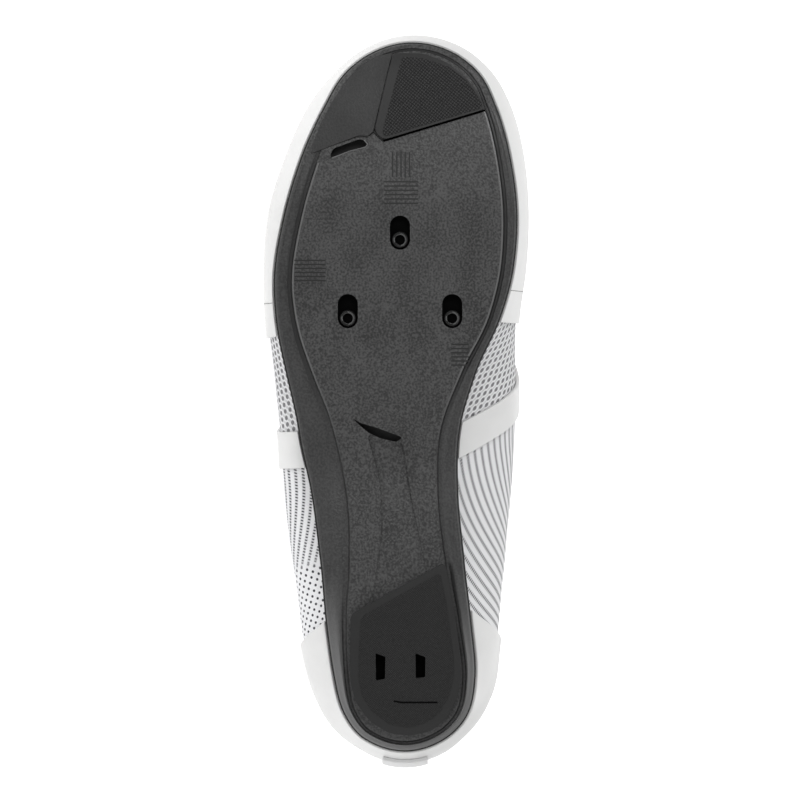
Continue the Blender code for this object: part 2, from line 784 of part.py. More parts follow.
def wrap(turn):
    """The same angle, measured from the heel, between -pi and pi."""
    return (turn + math.pi) % (2.0 * math.pi) - math.pi


def make_rand(collection, material):
    """The film rand that edges the sole round the forefoot and rises into a toe cap."""
    start = turn_of(RAND_MEDIAL_END)
    end = 2.0 * math.pi - turn_of(RAND_LATERAL_END)
    turns = turns_between(start, end)

    rows = []
    for rise in rises_between(PANEL_FOOT, RAND_TOP):
        rows.append([upper_offset(wrap(turn), rise, FILM_GAP) for turn in turns])
    mesh = grid_mesh("rand", rows)
    face_outward(mesh)
    rand = add_object("rand", mesh, material, collection)
    thicken(rand, FILM, 1.0)
    smooth_shading(rand)
    return rand


def make_counter(collection, material):
    """The smooth heel counter, its front edges leaning back as they rise."""
    columns = COUNTER_COLUMNS
    rows = []
    for rise in rises_between(PANEL_FOOT, COUNTER_TOP):
        share = rise / COUNTER_TOP
        first = -turn_of(COUNTER_LATERAL_END - COUNTER_SWEEP * share)
        last = turn_of(COUNTER_MEDIAL_END - COUNTER_SWEEP * share)
        row = []
        for k in range(columns + 1):
            turn = first + (last - first) * k / columns
            row.append(upper_offset(turn, rise, FILM_GAP))
        rows.append(row)
    mesh = grid_mesh("heel_counter", rows)
    face_outward(mesh)
    counter = add_object("heel_counter", mesh, material, collection)
    thicken(counter, COUNTER, 1.0)
    smooth_shading(counter)
    return counter


def make_heel_tab(collection, material):
    """The strip up the back seam, over the counter, to the collar."""
    half = TAB_WIDTH / 2.0
    gap = FILM_GAP + COUNTER + FILM_GAP
    rows = []
    for rise in rises_between(TAB_FOOT, TAB_TOP):
        reach = tab_turn(rise, half)
        rows.append([upper_offset(reach * k / 2.0, rise, gap) for k in range(-2, 3)])
    mesh = grid_mesh("heel_tab", rows)
    face_outward(mesh)
    tab = add_object("heel_tab", mesh, material, collection)
    thicken(tab, TAB, 1.0)
    smooth_shading(tab)
    return tab


def tab_turn(rise, half):
    """The angle at which the upper is a half width from its back seam."""
    centre = upper_point(1e-6, rise)
    low, high = 0.0, 1.2
    for _ in range(24):
        middle = (low + high) / 2.0
        if abs(upper_point(middle, rise)[1] - centre[1]) < half:
            low = middle
        else:
            high = middle
    return low


def make_band(name, side, places, collection, material):
    """A film band from the sole's edge up to the throat, leaning forward as it rises."""
    line = Profile((0.0, BAND_MIDDLE, 1.0), places)
    columns = BAND_COLUMNS
    rows = []
    for rise in rises_between(PANEL_FOOT, BAND_TOP):
        row = []
        for k in range(columns + 1):
            at = line(rise) + BAND_HALF * (2.0 * k / columns - 1.0)
            row.append(upper_offset(side * turn_of(at), rise, FILM_GAP))
        rows.append(row)
    mesh = grid_mesh(name, rows)
    face_outward(mesh)
    band = add_object(name, mesh, material, collection)
    thicken(band, FILM, 1.0)
    smooth_shading(band)
    return band


def make_strap(name, row_of_shares, collection, material):
    """A flat strap over the instep, fastened to both sides, with a rounded lateral tip."""
    shape = dict(zip(STRAP_COLUMNS, row_of_shares))
    places = (shape["lateral"], shape["middle"], shape["medial"])
    line = Profile((-STRAP_FOOT, 0.0, STRAP_FOOT), places)
    gap = FILM_GAP + FILM + FILM_GAP
    steps, columns = STRAP_STEPS, STRAP_FACES
    rows = []
    for n in range(steps + 1):
        share = n / steps
        across = shape["start"] + (shape["end"] - shape["start"]) * share
        row = []
        for k in range(columns + 1):
            offset = 2.0 * k / columns - 1.0
            round_end = 1.0 - math.sqrt(1.0 - 0.9 * offset**2)
            pull = STRAP_TIP * round_end * (1.0 - share) ** 6
            at = line(across) + shape["half"] * offset
            row.append(across_offset(turn_of(at), across + pull, gap))
        rows.append(row)
    mesh = grid_mesh(name, rows)
    face_outward(mesh)
    strap = add_object(name, mesh, material, collection)
    thicken(strap, STRAP, 1.0)
    smooth_shading(strap)
    return strap


def make_tongue(collection, material):
    """The tongue under the throat, which stands up out of the collar at its top."""
    depth = UPPER_WALL + 3 * GAP
    steps, rise_steps, columns = TONGUE_STEPS, TONGUE_RISE_STEPS, TONGUE_FACES
    half_width = Profile(*zip(*TONGUE_HALF))
    up = Vector((-math.sin(TONGUE_LEAN), 0.0, math.cos(TONGUE_LEAN)))
    rows = []
    for n in range(steps + rise_steps + 1):
        share = min(n / steps, 1.0)
        turn = turn_of(TONGUE_FRONT + (TONGUE_BACK - TONGUE_FRONT) * share)
        lift = TONGUE_REACH * max(0, n - steps) / rise_steps
        half = half_width(n / (steps + rise_steps))
        row = []
        for k in range(columns + 1):
            across = half * (2.0 * k / columns - 1.0)
            point = across_offset(turn, across, -depth)
            row.append(Vector(point) + up * lift)
        rows.append(row)
    mesh = grid_mesh("tongue", rows)
    face_outward(mesh)
    tongue = add_object("tongue", mesh, material, collection)
    thicken(tongue, TONGUE, -1.0)
    smooth_shading(tongue)
    return tongue


def weigh(pieces):
    """Every corner of the shoe, and its centre of mass."""
    graph = bpy.context.evaluated_depsgraph_get()
    corners, mass, moment = [], 0.0, Vector((0.0, 0.0, 0.0))
    for piece, material_name in pieces:
        density = MATERIALS[material_name][3]
        bm = bmesh.new()
        bm.from_object(piece, graph)
        bmesh.ops.transform(bm, matrix=piece.matrix_world, verts=bm.verts)
        bmesh.ops.triangulate(bm, faces=bm.faces)
        corners += [vert.co.copy() for vert in bm.verts]
        for face in bm.faces:
            a, b, c = (vert.co for vert in face.verts)
            volume = a.dot(b.cross(c)) / 6.0
            mass += density * volume
            moment += density * volume * (a + b + c) / 4.0
        bm.free()
    return corners, moment / mass


def resting_side(corners, centre):
    """The outward direction of the stable lateral face on which the shoe lies."""
    bm = bmesh.new()
    for corner in corners:
        bm.verts.new(corner)
    bmesh.ops.convex_hull(bm, input=bm.verts)
    lateral = Vector((0.0, -1.0, 0.0))
    best, best_score = None, -1.0
    for face in bm.faces:
        normal = face.normal
        foot = centre + normal * (face.verts[0].co - centre).dot(normal)
        points = [vert.co for vert in face.verts]
        inside = all(
            (points[(k + 1) % len(points)] - points[k]).cross(foot - points[k]).dot(normal) >= 0.0
            for k in range(len(points))
        )
        if inside and normal.dot(lateral) > best_score:
            best, best_score = normal.copy(), normal.dot(lateral)
    bm.free()
    return best


def lay_down(pieces, cutters):
    """Parent the shoe to an empty, and lay it on its side with its toe to -X."""
    bpy.context.view_layer.update()
    corners, centre = weigh(pieces)
    down = resting_side(corners, centre)
    up = -down
    back = -(Vector((1.0, 0.0, 0.0)) - up * up.x).normalized()
    side = up.cross(back)
    turn = Matrix((back, side, up)).to_4x4()
    placed = [turn @ corner for corner in corners]
    low = Vector([min(point[k] for point in placed) for k in range(3)])
    high = Vector([max(point[k] for point in placed) for k in range(3)])
    shift = Matrix.Translation((-(low.x + high.x) / 2.0, -(low.y + high.y) / 2.0, -low.z))
    pose = bpy.data.objects.new("resting_pose", None)
    bpy.context.scene.collection.objects.link(pose)
    pose.matrix_world = shift @ turn
    for thing in [piece for piece, _ in pieces] + list(cutters.objects):
        thing.parent = pose
    bpy.context.view_layer.update()


def main():
    for thing in list(bpy.data.objects):
        bpy.data.objects.remove(thing)
    shoe = bpy.data.collections.new("cycling_shoe")
    cutters = bpy.data.collections.new("cutters")
    for collection in (shoe, cutters):
        bpy.context.scene.collection.children.link(collection)
    look = {name: make_material(name) for name in MATERIALS}

    pieces = [(make_outsole(shoe, cutters, look["composite"]), "composite")]
    pieces += [(nut, "nut_steel") for nut in make_nuts(shoe, look["nut_steel"])]
    for name, outline, thickness in (
        ("toe_pad", TOE_PAD_OUTLINE, TOE_PAD),
        ("heel_pad", HEEL_PAD_OUTLINE, HEEL_PAD),
    ):
        pad = make_pad(name, outline, thickness, shoe, cutters, look["pad_rubber"])
        pieces.append((pad, "pad_rubber"))
    heel_pad = pieces[-1][0]
    for k, place in enumerate(PAD_SLOTS):
        shape = stadium(on_sole(place), *PAD_SLOT_SIZE)
        cut(heel_pad, prism(f"pad_slot_{k}", shape, BELOW, ABOVE, cutters))
    pieces.append((make_insole(shoe, look["lining"]), "lining"))
    pieces.append((make_upper(shoe, look["knit"]), "knit"))
    pieces.append((make_rand(shoe, look["film"]), "film"))
    pieces.append((make_counter(shoe, look["film"]), "film"))
    pieces.append((make_heel_tab(shoe, look["film"]), "film"))
    for name, side, places in (
        ("band_lateral", LATERAL, BAND_LATERAL),
        ("band_medial", MEDIAL, BAND_MEDIAL),
    ):
        pieces.append((make_band(name, side, places, shoe, look["film"]), "film"))
    for name, shares in STRAP_ROWS.items():
        pieces.append((make_strap(name, shares, shoe, look["strap"]), "strap"))
    pieces.append((make_tongue(shoe, look["knit"]), "knit"))
    lay_down(pieces, cutters)


main()
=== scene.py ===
"""Looks of the cycling shoe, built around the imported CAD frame.

Every surface is worked out in the shoe's own frame, as in the CAD: X from heel to toe, Y from the
outer (lateral) side to the inner (medial) side, Z up from the plane under heel and ball. The pose
of the resting shoe is read from the record's two mounts. All lengths are in metres.
"""

import json
import math
from functools import lru_cache

import bmesh
import bpy
import numpy as np
from mathutils import Matrix, Vector


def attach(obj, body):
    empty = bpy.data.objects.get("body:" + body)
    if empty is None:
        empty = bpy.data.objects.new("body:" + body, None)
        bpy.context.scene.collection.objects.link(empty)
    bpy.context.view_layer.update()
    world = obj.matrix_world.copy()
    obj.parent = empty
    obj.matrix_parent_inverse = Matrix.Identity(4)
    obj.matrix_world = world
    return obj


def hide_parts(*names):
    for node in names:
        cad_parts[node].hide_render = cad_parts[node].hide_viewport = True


# The two sides of the shoe
LATERAL, MEDIAL = -1, 1

# The shoe's sizes, as in the CAD
HEEL_START = 0.0025
UPPER_LENGTH = 0.2856
UPPER_WIDTH = 0.1009
HEEL_OVERHANG = 0.0040
SOLE_LENGTH = 0.2797
SOLE_WIDTH = 0.0942
COLLAR_WIDTH = 0.0640
COLLAR_SETBACK = 0.0075
THROAT_START = 0.6566
THROAT_RADIUS = 0.0115
BALL_CLEARANCE = 0.0012
WAIST_RISE = 0.0070
TOE_SPRING = 0.0140
RIM_HEIGHT = 0.0065
ARCH_WRAP = 0.0030
INSTEP_HEIGHT = 0.0970
BULGE_HEIGHT = 0.0300
CROWN_RISE = 0.0600
GAP = 0.0003
PLATE = 0.0042
PLATE_STEP = 0.0012
RIM_SHELF = 0.0030
EDGE_ROUND = 0.0008
HEEL_PAD = 0.0040
TOE_PAD = 0.0016
INSOLE = 0.0035
UPPER_WALL = 0.0020
FILM = 0.0009
FILM_GAP = 0.0006
COUNTER = 0.0011
TAB = 0.0010
TAB_WIDTH = 0.0165
STRAP = 0.0018
TONGUE = 0.0040
TONGUE_REACH = 0.0220
TONGUE_LEAN = math.radians(32.0)
STRAP_TIP = 0.035
SLOT_LENGTH = 0.0134
SLOT_WIDTH = 0.0079
SLOT_DEPTH = 0.0030
NUT_RADIUS = 0.0033
NUT_BORE = 0.0021
NUT_HEIGHT = 0.0018
NUT_SHIFT = 0.0028
CLEAT_BASE = 0.0410
CLEAT_HEIGHT = 0.0308
REAR_SLOTS_AT = 0.6199
PAD_CORNER = 0.0022
HEEL_REST_AT = 0.050

# Small sizes of the sole in the scene: its border, wall, rim, corners, grooves and marks
BORDER_BEAD, BORDER_DIP = 0.00035, 0.00045
WALL_WIDTH = 0.0006
PLATE_MARGIN = 0.0022
RIM_ROUND = 0.0002
FRONT_SKIN = 0.00002
VENT_CORNER, SLIT_CORNER, CHANNEL_CORNER, PAD_SLOT_CORNER = 0.0008, 0.0006, 0.0040, 0.0004
FACET_BASE, FACET_RISE = 0.0006, 0.0004
GROOVE_LIFT, GROOVE_RADIUS, PAD_GROOVE_RADIUS = 0.0002, 0.00042, 0.00032
LIP_SINK, LIP_RADIUS = 0.0001, 0.00025
SCALE_LINE, SCALE_LIFT, SCALE_BODY = 0.00060, 0.00003, 0.0002
KNURL_LIFT, KNURL_BASE = 0.00012, 0.0002
NUT_CHAMFER, NUT_SINK = 0.0004, 0.0006
THREAD_TURNS, THREAD_DEPTH, THREAD_CREST = 3, 0.0002, 0.0001

# Small sizes of the upper in the scene: film, cords and stitches
FILM_BASE = 0.0002
JOINT_RADIUS = 0.00012
STITCH_RADIUS, STITCH_LIFT, STITCH_INSET = 0.00022, 0.0001, 0.16
STITCH_FIRST, STITCH_LAST = 6, 4
BINDING_RADIUS, BINDING_RISE = 0.0016, 0.996
TIP_FLATNESS, TIP_FADE = 0.9, 6

# Roundings of edges, and the angles in degrees that count as an edge
SOLE_ROUND, FILM_ROUND = 0.0003, 0.0003
FACET_ROUND, TAB_ROUND = 0.0004, 0.0004
PAD_ROUND, COUNTER_ROUND, STRAP_ROUND = 0.0005, 0.0005, 0.0005
TONGUE_ROUND = 0.0014
FINE_ANGLE, SOFT_ANGLE, FACET_ANGLE, BEVEL_ANGLE = 30.0, 35.0, 40.0, 50.0

# Outline tables: place along the length, then half widths as shares of the named width
SOLE_ROWS = [
    (0.020, 0.160, 0.200),
    (0.050, 0.230, 0.280),
    (0.100, 0.275, 0.315),
    (0.180, 0.310, 0.300),
    (0.270, 0.335, 0.270),
    (0.360, 0.370, 0.245),
    (0.450, 0.425, 0.250),
    (0.530, 0.475, 0.315),
    (0.610, 0.520, 0.420),
    (0.680, 0.525, 0.475),
    (0.760, 0.482, 0.490),
    (0.840, 0.410, 0.460),
    (0.910, 0.315, 0.400),
    (0.960, 0.220, 0.320),
    (0.985, 0.120, 0.225),
]
BULGE_ROWS = [
    (0.015, 0.130, 0.170),
    (0.040, 0.230, 0.255),
    (0.090, 0.320, 0.345),
    (0.160, 0.375, 0.380),
    (0.250, 0.410, 0.405),
    (0.340, 0.445, 0.430),
    (0.430, 0.464, 0.450),
    (0.520, 0.487, 0.455),
    (0.610, 0.515, 0.455),
    (0.680, 0.520, 0.480),
    (0.760, 0.500, 0.490),
    (0.840, 0.430, 0.470),
    (0.910, 0.335, 0.415),
    (0.960, 0.215, 0.325),
    (0.985, 0.115, 0.230),
]
COLLAR_ROWS = [
    (0.015, 0.180, 0.180),
    (0.040, 0.300, 0.300),
    (0.090, 0.420, 0.415),
    (0.160, 0.485, 0.480),
    (0.250, 0.500, 0.490),
    (0.340, 0.440, 0.430),
    (0.400, 0.325, 0.320),
    (0.430, 0.275, 0.275),
    (0.520, 0.235, 0.235),
    (0.610, 0.200, 0.200),
    (0.660, 0.180, 0.180),
]

# Side view of the sole, as in the CAD
SIDE_COLUMNS = ("heel", "waist", "toe", "rim", "arch", "plate_lateral", "plate_medial")
SIDE_ROWS = [
    (0.000, 1.00, 0.35, 0.00, 1.20, 0.00, 0.040, 0.040),
    (0.050, 1.00, 0.06, 0.00, 1.20, 0.00, 0.045, 0.045),
    (0.080, 1.00, 0.00, 0.00, 1.20, 0.00, 0.052, 0.048),
    (0.200, 1.00, 0.00, 0.00, 1.20, 0.00, 0.090, 0.065),
    (0.250, 1.00, 0.10, 0.00, 1.20, 0.15, 0.112, 0.074),
    (0.330, 0.80, 0.50, 0.00, 1.15, 0.60, 0.138, 0.082),
    (0.420, 0.50, 1.00, 0.00, 1.05, 1.00, 0.145, 0.080),
    (0.520, 0.10, 0.62, 0.00, 1.00, 0.50, 0.105, 0.055),
    (0.580, 0.00, 0.22, 0.00, 1.00, 0.20, 0.084, 0.042),
    (0.660, 0.00, 0.00, 0.00, 1.00, 0.00, 0.072, 0.048),
    (0.760, 0.00, 0.00, 0.00, 1.00, 0.00, 0.070, 0.055),
    (0.840, 0.00, 0.00, 0.14, 0.95, 0.00, 0.068, 0.052),
    (0.910, 0.00, 0.00, 0.38, 0.85, 0.00, 0.055, 0.045),
    (0.960, 0.00, 0.00, 0.64, 0.75, 0.00, 0.042, 0.040),
    (1.000, 0.00, 0.00, 1.00, 0.65, 0.00, 0.036, 0.036),
]

# Ribs of the upper, as in the CAD
RIB_COLUMNS = (
    "bulge_lateral", "bulge_medial", "in_lateral", "up_lateral", "in_medial", "up_medial",
    "edge_height", "crown",
)
RIB_ROWS = [
    (0.000, 1.05, 1.05, 0.85, 0.62, 0.85, 0.62, 0.885, 0.90),
    (0.040, 1.00, 1.05, 0.60, 0.58, 0.60, 0.58, 0.860, 0.95),
    (0.090, 0.95, 1.05, 0.42, 0.52, 0.45, 0.52, 0.790, 1.00),
    (0.160, 0.90, 1.08, 0.34, 0.50, 0.40, 0.50, 0.715, 1.00),
    (0.250, 0.86, 1.15, 0.32, 0.50, 0.38, 0.50, 0.690, 0.90),
    (0.340, 0.82, 1.30, 0.32, 0.52, 0.38, 0.54, 0.800, 0.50),
    (0.400, 0.79, 1.38, 0.33, 0.54, 0.37, 0.57, 0.945, 0.18),
    (0.430, 0.77, 1.38, 0.33, 0.55, 0.36, 0.58, 0.985, 0.10),
    (0.520, 0.70, 1.12, 0.34, 0.60, 0.36, 0.62, 0.890, 0.09),
    (0.610, 0.62, 0.85, 0.35, 0.66, 0.36, 0.67, 0.770, 0.08),
    (0.680, 0.58, 0.64, 0.34, 0.70, 0.35, 0.70, 0.690, 0.08),
    (0.760, 0.58, 0.60, 0.33, 0.72, 0.33, 0.72, 0.670, 0.08),
    (0.840, 0.68, 0.70, 0.30, 0.70, 0.30, 0.70, 0.658, 0.08),
    (0.910, 0.78, 0.80, 0.27, 0.66, 0.27, 0.66, 0.652, 0.08),
    (1.000, 0.95, 0.95, 0.24, 0.61, 0.24, 0.61, 0.648, 0.08),
]

# Outlines in plan, as shares of the sole's length from its heel and of its width from its middle
TOE_PAD_OUTLINE = [
    (0.9840, -0.0285), (0.8735, -0.1070), (0.8606, -0.0690), (0.9040, 0.3560),
    (0.9240, 0.3330), (0.9480, 0.2780), (0.9700, 0.1980), (0.9830, 0.1000),
]
TOE_KNURL_OUTLINE = [
    (0.9790, 0.0084), (0.8725, -0.0735), (0.8650, -0.0640), (0.9060, 0.3490),
    (0.9220, 0.3260), (0.9440, 0.2800), (0.9640, 0.2049), (0.9760, 0.1004),
]
TOE_FACET_OUTLINE = [
    (0.9840, -0.0305), (0.8721, -0.1107), (0.8660, -0.1330), (0.8660, -0.1757),
    (0.8530, -0.2761), (0.8400, -0.3740), (0.8531, -0.3680), (0.8841, -0.3330),
    (0.9136, -0.2880), (0.9418, -0.2330), (0.9658, -0.1680), (0.9800, -0.1000),
]
FACET_LIFTS = (0.85, 1.00, 0.95, 0.75, 0.30, 0.05, 0.05, 0.05, 0.05, 0.10, 0.30, 0.60)
TOE_GROOVE = [(0.8590, -0.0690), (0.9022, 0.3560)]
HEEL_PAD_OUTLINE = [
    (0.1944, -0.2054), (0.2671, 0.1840), (0.2530, 0.1966), (0.2037, 0.2259),
    (0.1379, 0.2510), (0.1093, 0.2560), (0.0775, 0.2400), (0.0492, 0.1978),
    (0.0304, 0.1305), (0.0235, 0.0410), (0.0275, -0.0485), (0.0445, -0.1272),
    (0.0699, -0.1832), (0.1001, -0.2083), (0.1379, -0.2083),
]
HEEL_KNURL_OUTLINE = [
    (0.1910, -0.1631), (0.2530, 0.1673), (0.2037, 0.1966), (0.1389, 0.2217),
    (0.1093, 0.2259), (0.0797, 0.2049), (0.0572, 0.1673), (0.0431, 0.1171),
    (0.0346, 0.0410), (0.0389, -0.0418), (0.0558, -0.1129), (0.0797, -0.1589),
    (0.1065, -0.1736), (0.1431, -0.1715),
]
PAD_SLOT_OUTLINES = [
    [(0.1397, -0.1016), (0.1349, -0.0611), (0.1038, -0.0627), (0.1016, -0.1000)],
    [(0.1397, 0.0644), (0.1344, 0.1054), (0.1062, 0.1046), (0.1047, 0.0661)],
]
PAD_GROOVE = [(0.0727, -0.0264), (0.0708, 0.0075), (0.0708, 0.1560)]
CHANNEL_OUTLINE = [
    (0.4502, -0.1422), (0.4178, -0.1129), (0.3769, -0.0837), (0.3403, -0.0774),
    (0.3051, -0.0795), (0.2628, -0.0962), (0.1995, -0.1213), (0.1800, 0.0000),
    (0.2300, 0.1300), (0.2558, 0.1108), (0.2995, 0.0837), (0.3600, 0.0460),
    (0.4178, 0.0209), (0.4375, 0.0084),
]
VENT_OUTLINE = [
    (0.8341, -0.2886), (0.8418, -0.2886), (0.8488, -0.2761), (0.8615, -0.1715),
    (0.8608, -0.1548), (0.8545, -0.1380), (0.8510, -0.1380), (0.8446, -0.2091),
]
VENT_LIP = [
    (0.8347, -0.2850), (0.8446, -0.2091), (0.8505, -0.1430), (0.8545, -0.1350), (0.8600, -0.1480),
]
SLIT_OUTLINE = [
    (0.4696, -0.1995), (0.4629, -0.1656), (0.4555, -0.0920), (0.4441, 0.0000),
    (0.4417, 0.0084), (0.4361, -0.0151), (0.4410, -0.0795), (0.4488, -0.1297),
    (0.4579, -0.1631),
]
# The plate's front end: from the lateral border along the vent to the toe pad's rear edge
FRONT_STEP = [
    (0.8249, -0.6000), (0.8249, -0.3700), (0.8341, -0.2886), (0.8510, -0.1380), (0.8700, -0.1107),
    (0.8573, -0.0711), (0.9017, 0.3639), (0.9017, 0.6000), (1.1000, 0.6000), (1.1000, -0.6000),
]

# Rings of the sole from the plate outward, each with the look of the strip out to the next ring:
# ridge carries a painted highlight along the plate's step, trough painted shade in the dip beside
# it, edge painted shade on the sole's rounded side and rim, and border a painted highlight on the
# heel's bead. The wall's have a share across it and of its height; the border's have shares of
# its width, of the heel's bead and of the dip; the rounded edge's have an inset in roundings and a
# lift over the border.
WALL_RINGS = [
    ("ridge", 2.0, 1.0), ("ridge", 1.1, 0.97), ("trough", 0.8, 0.80), ("trough", 0.3, 0.15),
    ("trough", 0.0, 0.02),
]
BORDER_RINGS = [
    ("trough", 1.0, 0.0, 1.0), ("border", 0.85, 0.35, 0.6), ("border", 0.65, 0.85, 0.1),
    ("border", 0.45, 1.0, 0.0), ("border", 0.25, 0.8, 0.0), ("border", 0.0, 0.45, 0.0),
]
EDGE_RINGS = [
    ("border", 2.3, -BORDER_BEAD), ("border", 1.5, -0.6 * BORDER_BEAD),
    ("edge", 0.8, 0.5 * EDGE_ROUND), ("edge", 0.25, 1.6 * EDGE_ROUND), ("edge", 0.0, 3 * EDGE_ROUND),
]

# Cleat scales: groups of parallel lines (first and last place of the group, count, the span of
# each line, and whether they run along the shoe), in metres
SCALES = [
    ((-0.0029, 0.0037), 5, (0.2325, 0.2424), True),
    ((0.2222, 0.2307), 6, (-0.0062, 0.0071), False),
    ((0.1919, 0.1998), 6, (-0.0415, -0.0292), False),
    ((0.1587, 0.1668), 6, (0.0201, 0.0270), False),
]

# Joints of the film rand across its width: side and place along the shoe
RAND_JOINTS = [(LATERAL, 0.632), (MEDIAL, 0.650)]
RAND_JOINT_TOP = 0.24

# The knit's own lines: spacing across and along, and how they lean (rise per length along X).
# Mesh lies ahead of the bands, lines behind them, and the top pattern where the upper faces up.
LINE_PITCH, DOT_PITCH = 0.0026, 0.00130
MESH_PITCH, MESH_STITCH = 0.0030, 0.0026
MESH_LEAN = 1.20
MESH_SKEW = MESH_LEAN * MESH_STITCH / MESH_PITCH
MESH_SLANT, DOT_SLANT = 0.30, 0.35
LINE_START_LEAN, LINE_END_LEAN = 0.06, 0.62
LINE_REACH, LINE_SHARE_MAX = 0.30, 1.6
SPARSE_FROM, SPARSE_FADE, SPARSE_SHARE = 0.290, 0.050, 0.7
TOP_PITCH, TOP_STITCH, TOP_LEAN = 0.0024, 0.0026, 0.60
TOP_FACING = (0.45, 0.70)

# Knit left plain under film, up to a share of the film's height and a margin inside its ends
COVERED, COVER_MARGIN = 0.4, 0.01

# The knit's look: values stored on its mesh, half widths and soft edges of the marks, colours
KNIT_VALUES = ("lines", "dots", "zone", "sparse", "top")
STITCH_HALVES, STITCH_EDGE = (0.80, 0.95), (0.50, 1.00)
DOT_EDGE = (0.70, 1.10)
ZONE_BLEND = 0.0005
KNIT_WHITE, KNIT_SHADE = (0.90, 0.90, 0.91), (0.74, 0.74, 0.76)
YARN_DARK, YARN_GREY, YARN_HALO = (0.020, 0.020, 0.024), (0.06, 0.06, 0.07), (0.42, 0.42, 0.43)

# Looks: knurl of the pads, and where along the sole a painted tone is full and where it ends, in
# metres: the painted highlight on the heel's bead, and the painted highlight and painted shade along
# the plate's step, which fade out towards the waist
TOE_KNURL_PITCH, HEEL_KNURL_PITCH, KNURL_SLOPE = 0.00130, 0.00085, 0.8
HEEL_HIGHLIGHT_SPAN, WAIST_SHADE_AND_HIGHLIGHT_SPAN = (0.032, 0.085), (0.175, 0.120)

# Soft creases of the bare knit: side, place along, rises from and to, half width as a share of the
# length, and depth of the trough. The ridge behind has a share of that depth, and its place is in
# half widths.
CREASES = [
    (LATERAL, 0.640, 0.50, 0.92, 0.0075, 0.00070),
    (LATERAL, 0.585, 0.58, 0.95, 0.0070, 0.00045),
    (MEDIAL, 0.650, 0.50, 0.92, 0.0075, 0.00070),
    (MEDIAL, 0.590, 0.56, 0.95, 0.0070, 0.00045),
    (LATERAL, 0.330, 0.45, 0.90, 0.0080, 0.00060),
    (MEDIAL, 0.335, 0.45, 0.90, 0.0080, 0.00060),
    (LATERAL, 0.285, 0.55, 0.92, 0.0070, 0.00040),
    (MEDIAL, 0.280, 0.55, 0.92, 0.0070, 0.00040),
]
RIDGE_SHARE, RIDGE_PLACE = 0.6, 1.9

# Film panels, bands, straps and tongue, as in the CAD
RAND_LATERAL_END, RAND_MEDIAL_END = 0.585, 0.605
RAND_TOP = 0.46
COUNTER_LATERAL_END, COUNTER_MEDIAL_END = 0.185, 0.200
COUNTER_TOP = 0.62
COUNTER_SWEEP = 0.055
TAB_FOOT, TAB_TOP = 0.10, 0.97
BAND_LATERAL = (0.425, 0.445, 0.490)
BAND_MEDIAL = (0.437, 0.530, 0.600)
BAND_MIDDLE = 0.45
BAND_HALF = 0.026
BAND_TOP = 0.93
# Straps: places on the lateral side, the middle and the medial side, half width, and the ends of
# their reach across the instep
STRAP_ROWS = {
    "strap_instep": (0.515, 0.555, 0.575, 0.032, -0.62, 0.50),
    "strap_ankle": (0.435, 0.465, 0.475, 0.032, -0.62, 0.50),
}
STRAP_FOOT = 0.60
TONGUE_FRONT, TONGUE_BACK = 0.66, 0.412
TONGUE_HALF = [(0.0, 0.30), (0.45, 0.31), (0.58, 0.27), (0.70, 0.20), (0.90, 0.21), (1.0, 0.17)]

# Lowest rise of the films, nearer the sole than in the CAD so that no knit shows below them
PANEL_FOOT = 0.006

# Mesh counts and small steps
STATIONS = 132
RIB_STEPS = 36
RIB_CROWDING = 1.3
ROW_MARGIN = 0.008
THROAT_SHARE = 0.25
OUTLINE_STEP = 0.01
SURFACE_STEP = 0.004
TINY_TURN = 1e-6
FLAT_ENOUGH = 1e-5
SLAB_STEPS, SLOT_STEPS, NUT_SIDES, INSOLE_STATIONS = 70, 16, 40, 88
CORNER_STEPS, CORNER_REACH = 6, 0.45
RAND_COLUMNS, JOINT_STEPS, COUNTER_COLUMNS, BAND_COLUMNS = 220, 12, 90, 16
TAB_COLUMNS, TAB_TURN_MAX, TAB_TRIES = 6, 1.2, 24
STRAP_STEPS, STITCH_STEPS, BINDING_STEPS = 80, 110, 160
TONGUE_STEPS, TONGUE_TOP_STEPS, TONGUE_COLUMNS = 14, 6, 7
TONGUE_LEVELS, TONGUE_SEGMENTS = 3, 4

# A point inside the shoe, and heights that lie below and above everything that is cut
INSIDE = (0.14, 0.0, 0.035)
BELOW, ABOVE = -0.05, 0.08

# The photograph: a square frame looking straight at the sole, its side's length at the sole
VIEW_CENTRE = 0.1450
VIEW_SIDE = 0.3140
VIEW_DISTANCE = 3.00
SENSOR = 36.0

# The studio: floor and wall, surround, and lights (name, place, target, size, watts)
STAGE_HALF, STAGE_BACK, STAGE_RADIUS, STAGE_TOP, STAGE_STEPS = 6.0, 4.2, 1.0, 5.0, 16
STAGE_GREY, STAGE_GLOW = 0.55, 0.75
SURROUND = 0.36
SHOE_MIDDLE = (0.0, 0.0, 0.05)
LIGHTS = [
    ("key", (-0.9, -1.3, 0.8), SHOE_MIDDLE, 0.6, 9.0),
    ("fill", (1.0, -1.2, 0.6), SHOE_MIDDLE, 1.0, 3.0),
    ("top", (0.0, -0.1, 1.6), SHOE_MIDDLE, 1.2, 6.0),
    ("wall", (0.0, 1.0, 0.9), (0.0, 1.4, 0.0), 1.2, 12.0),
]

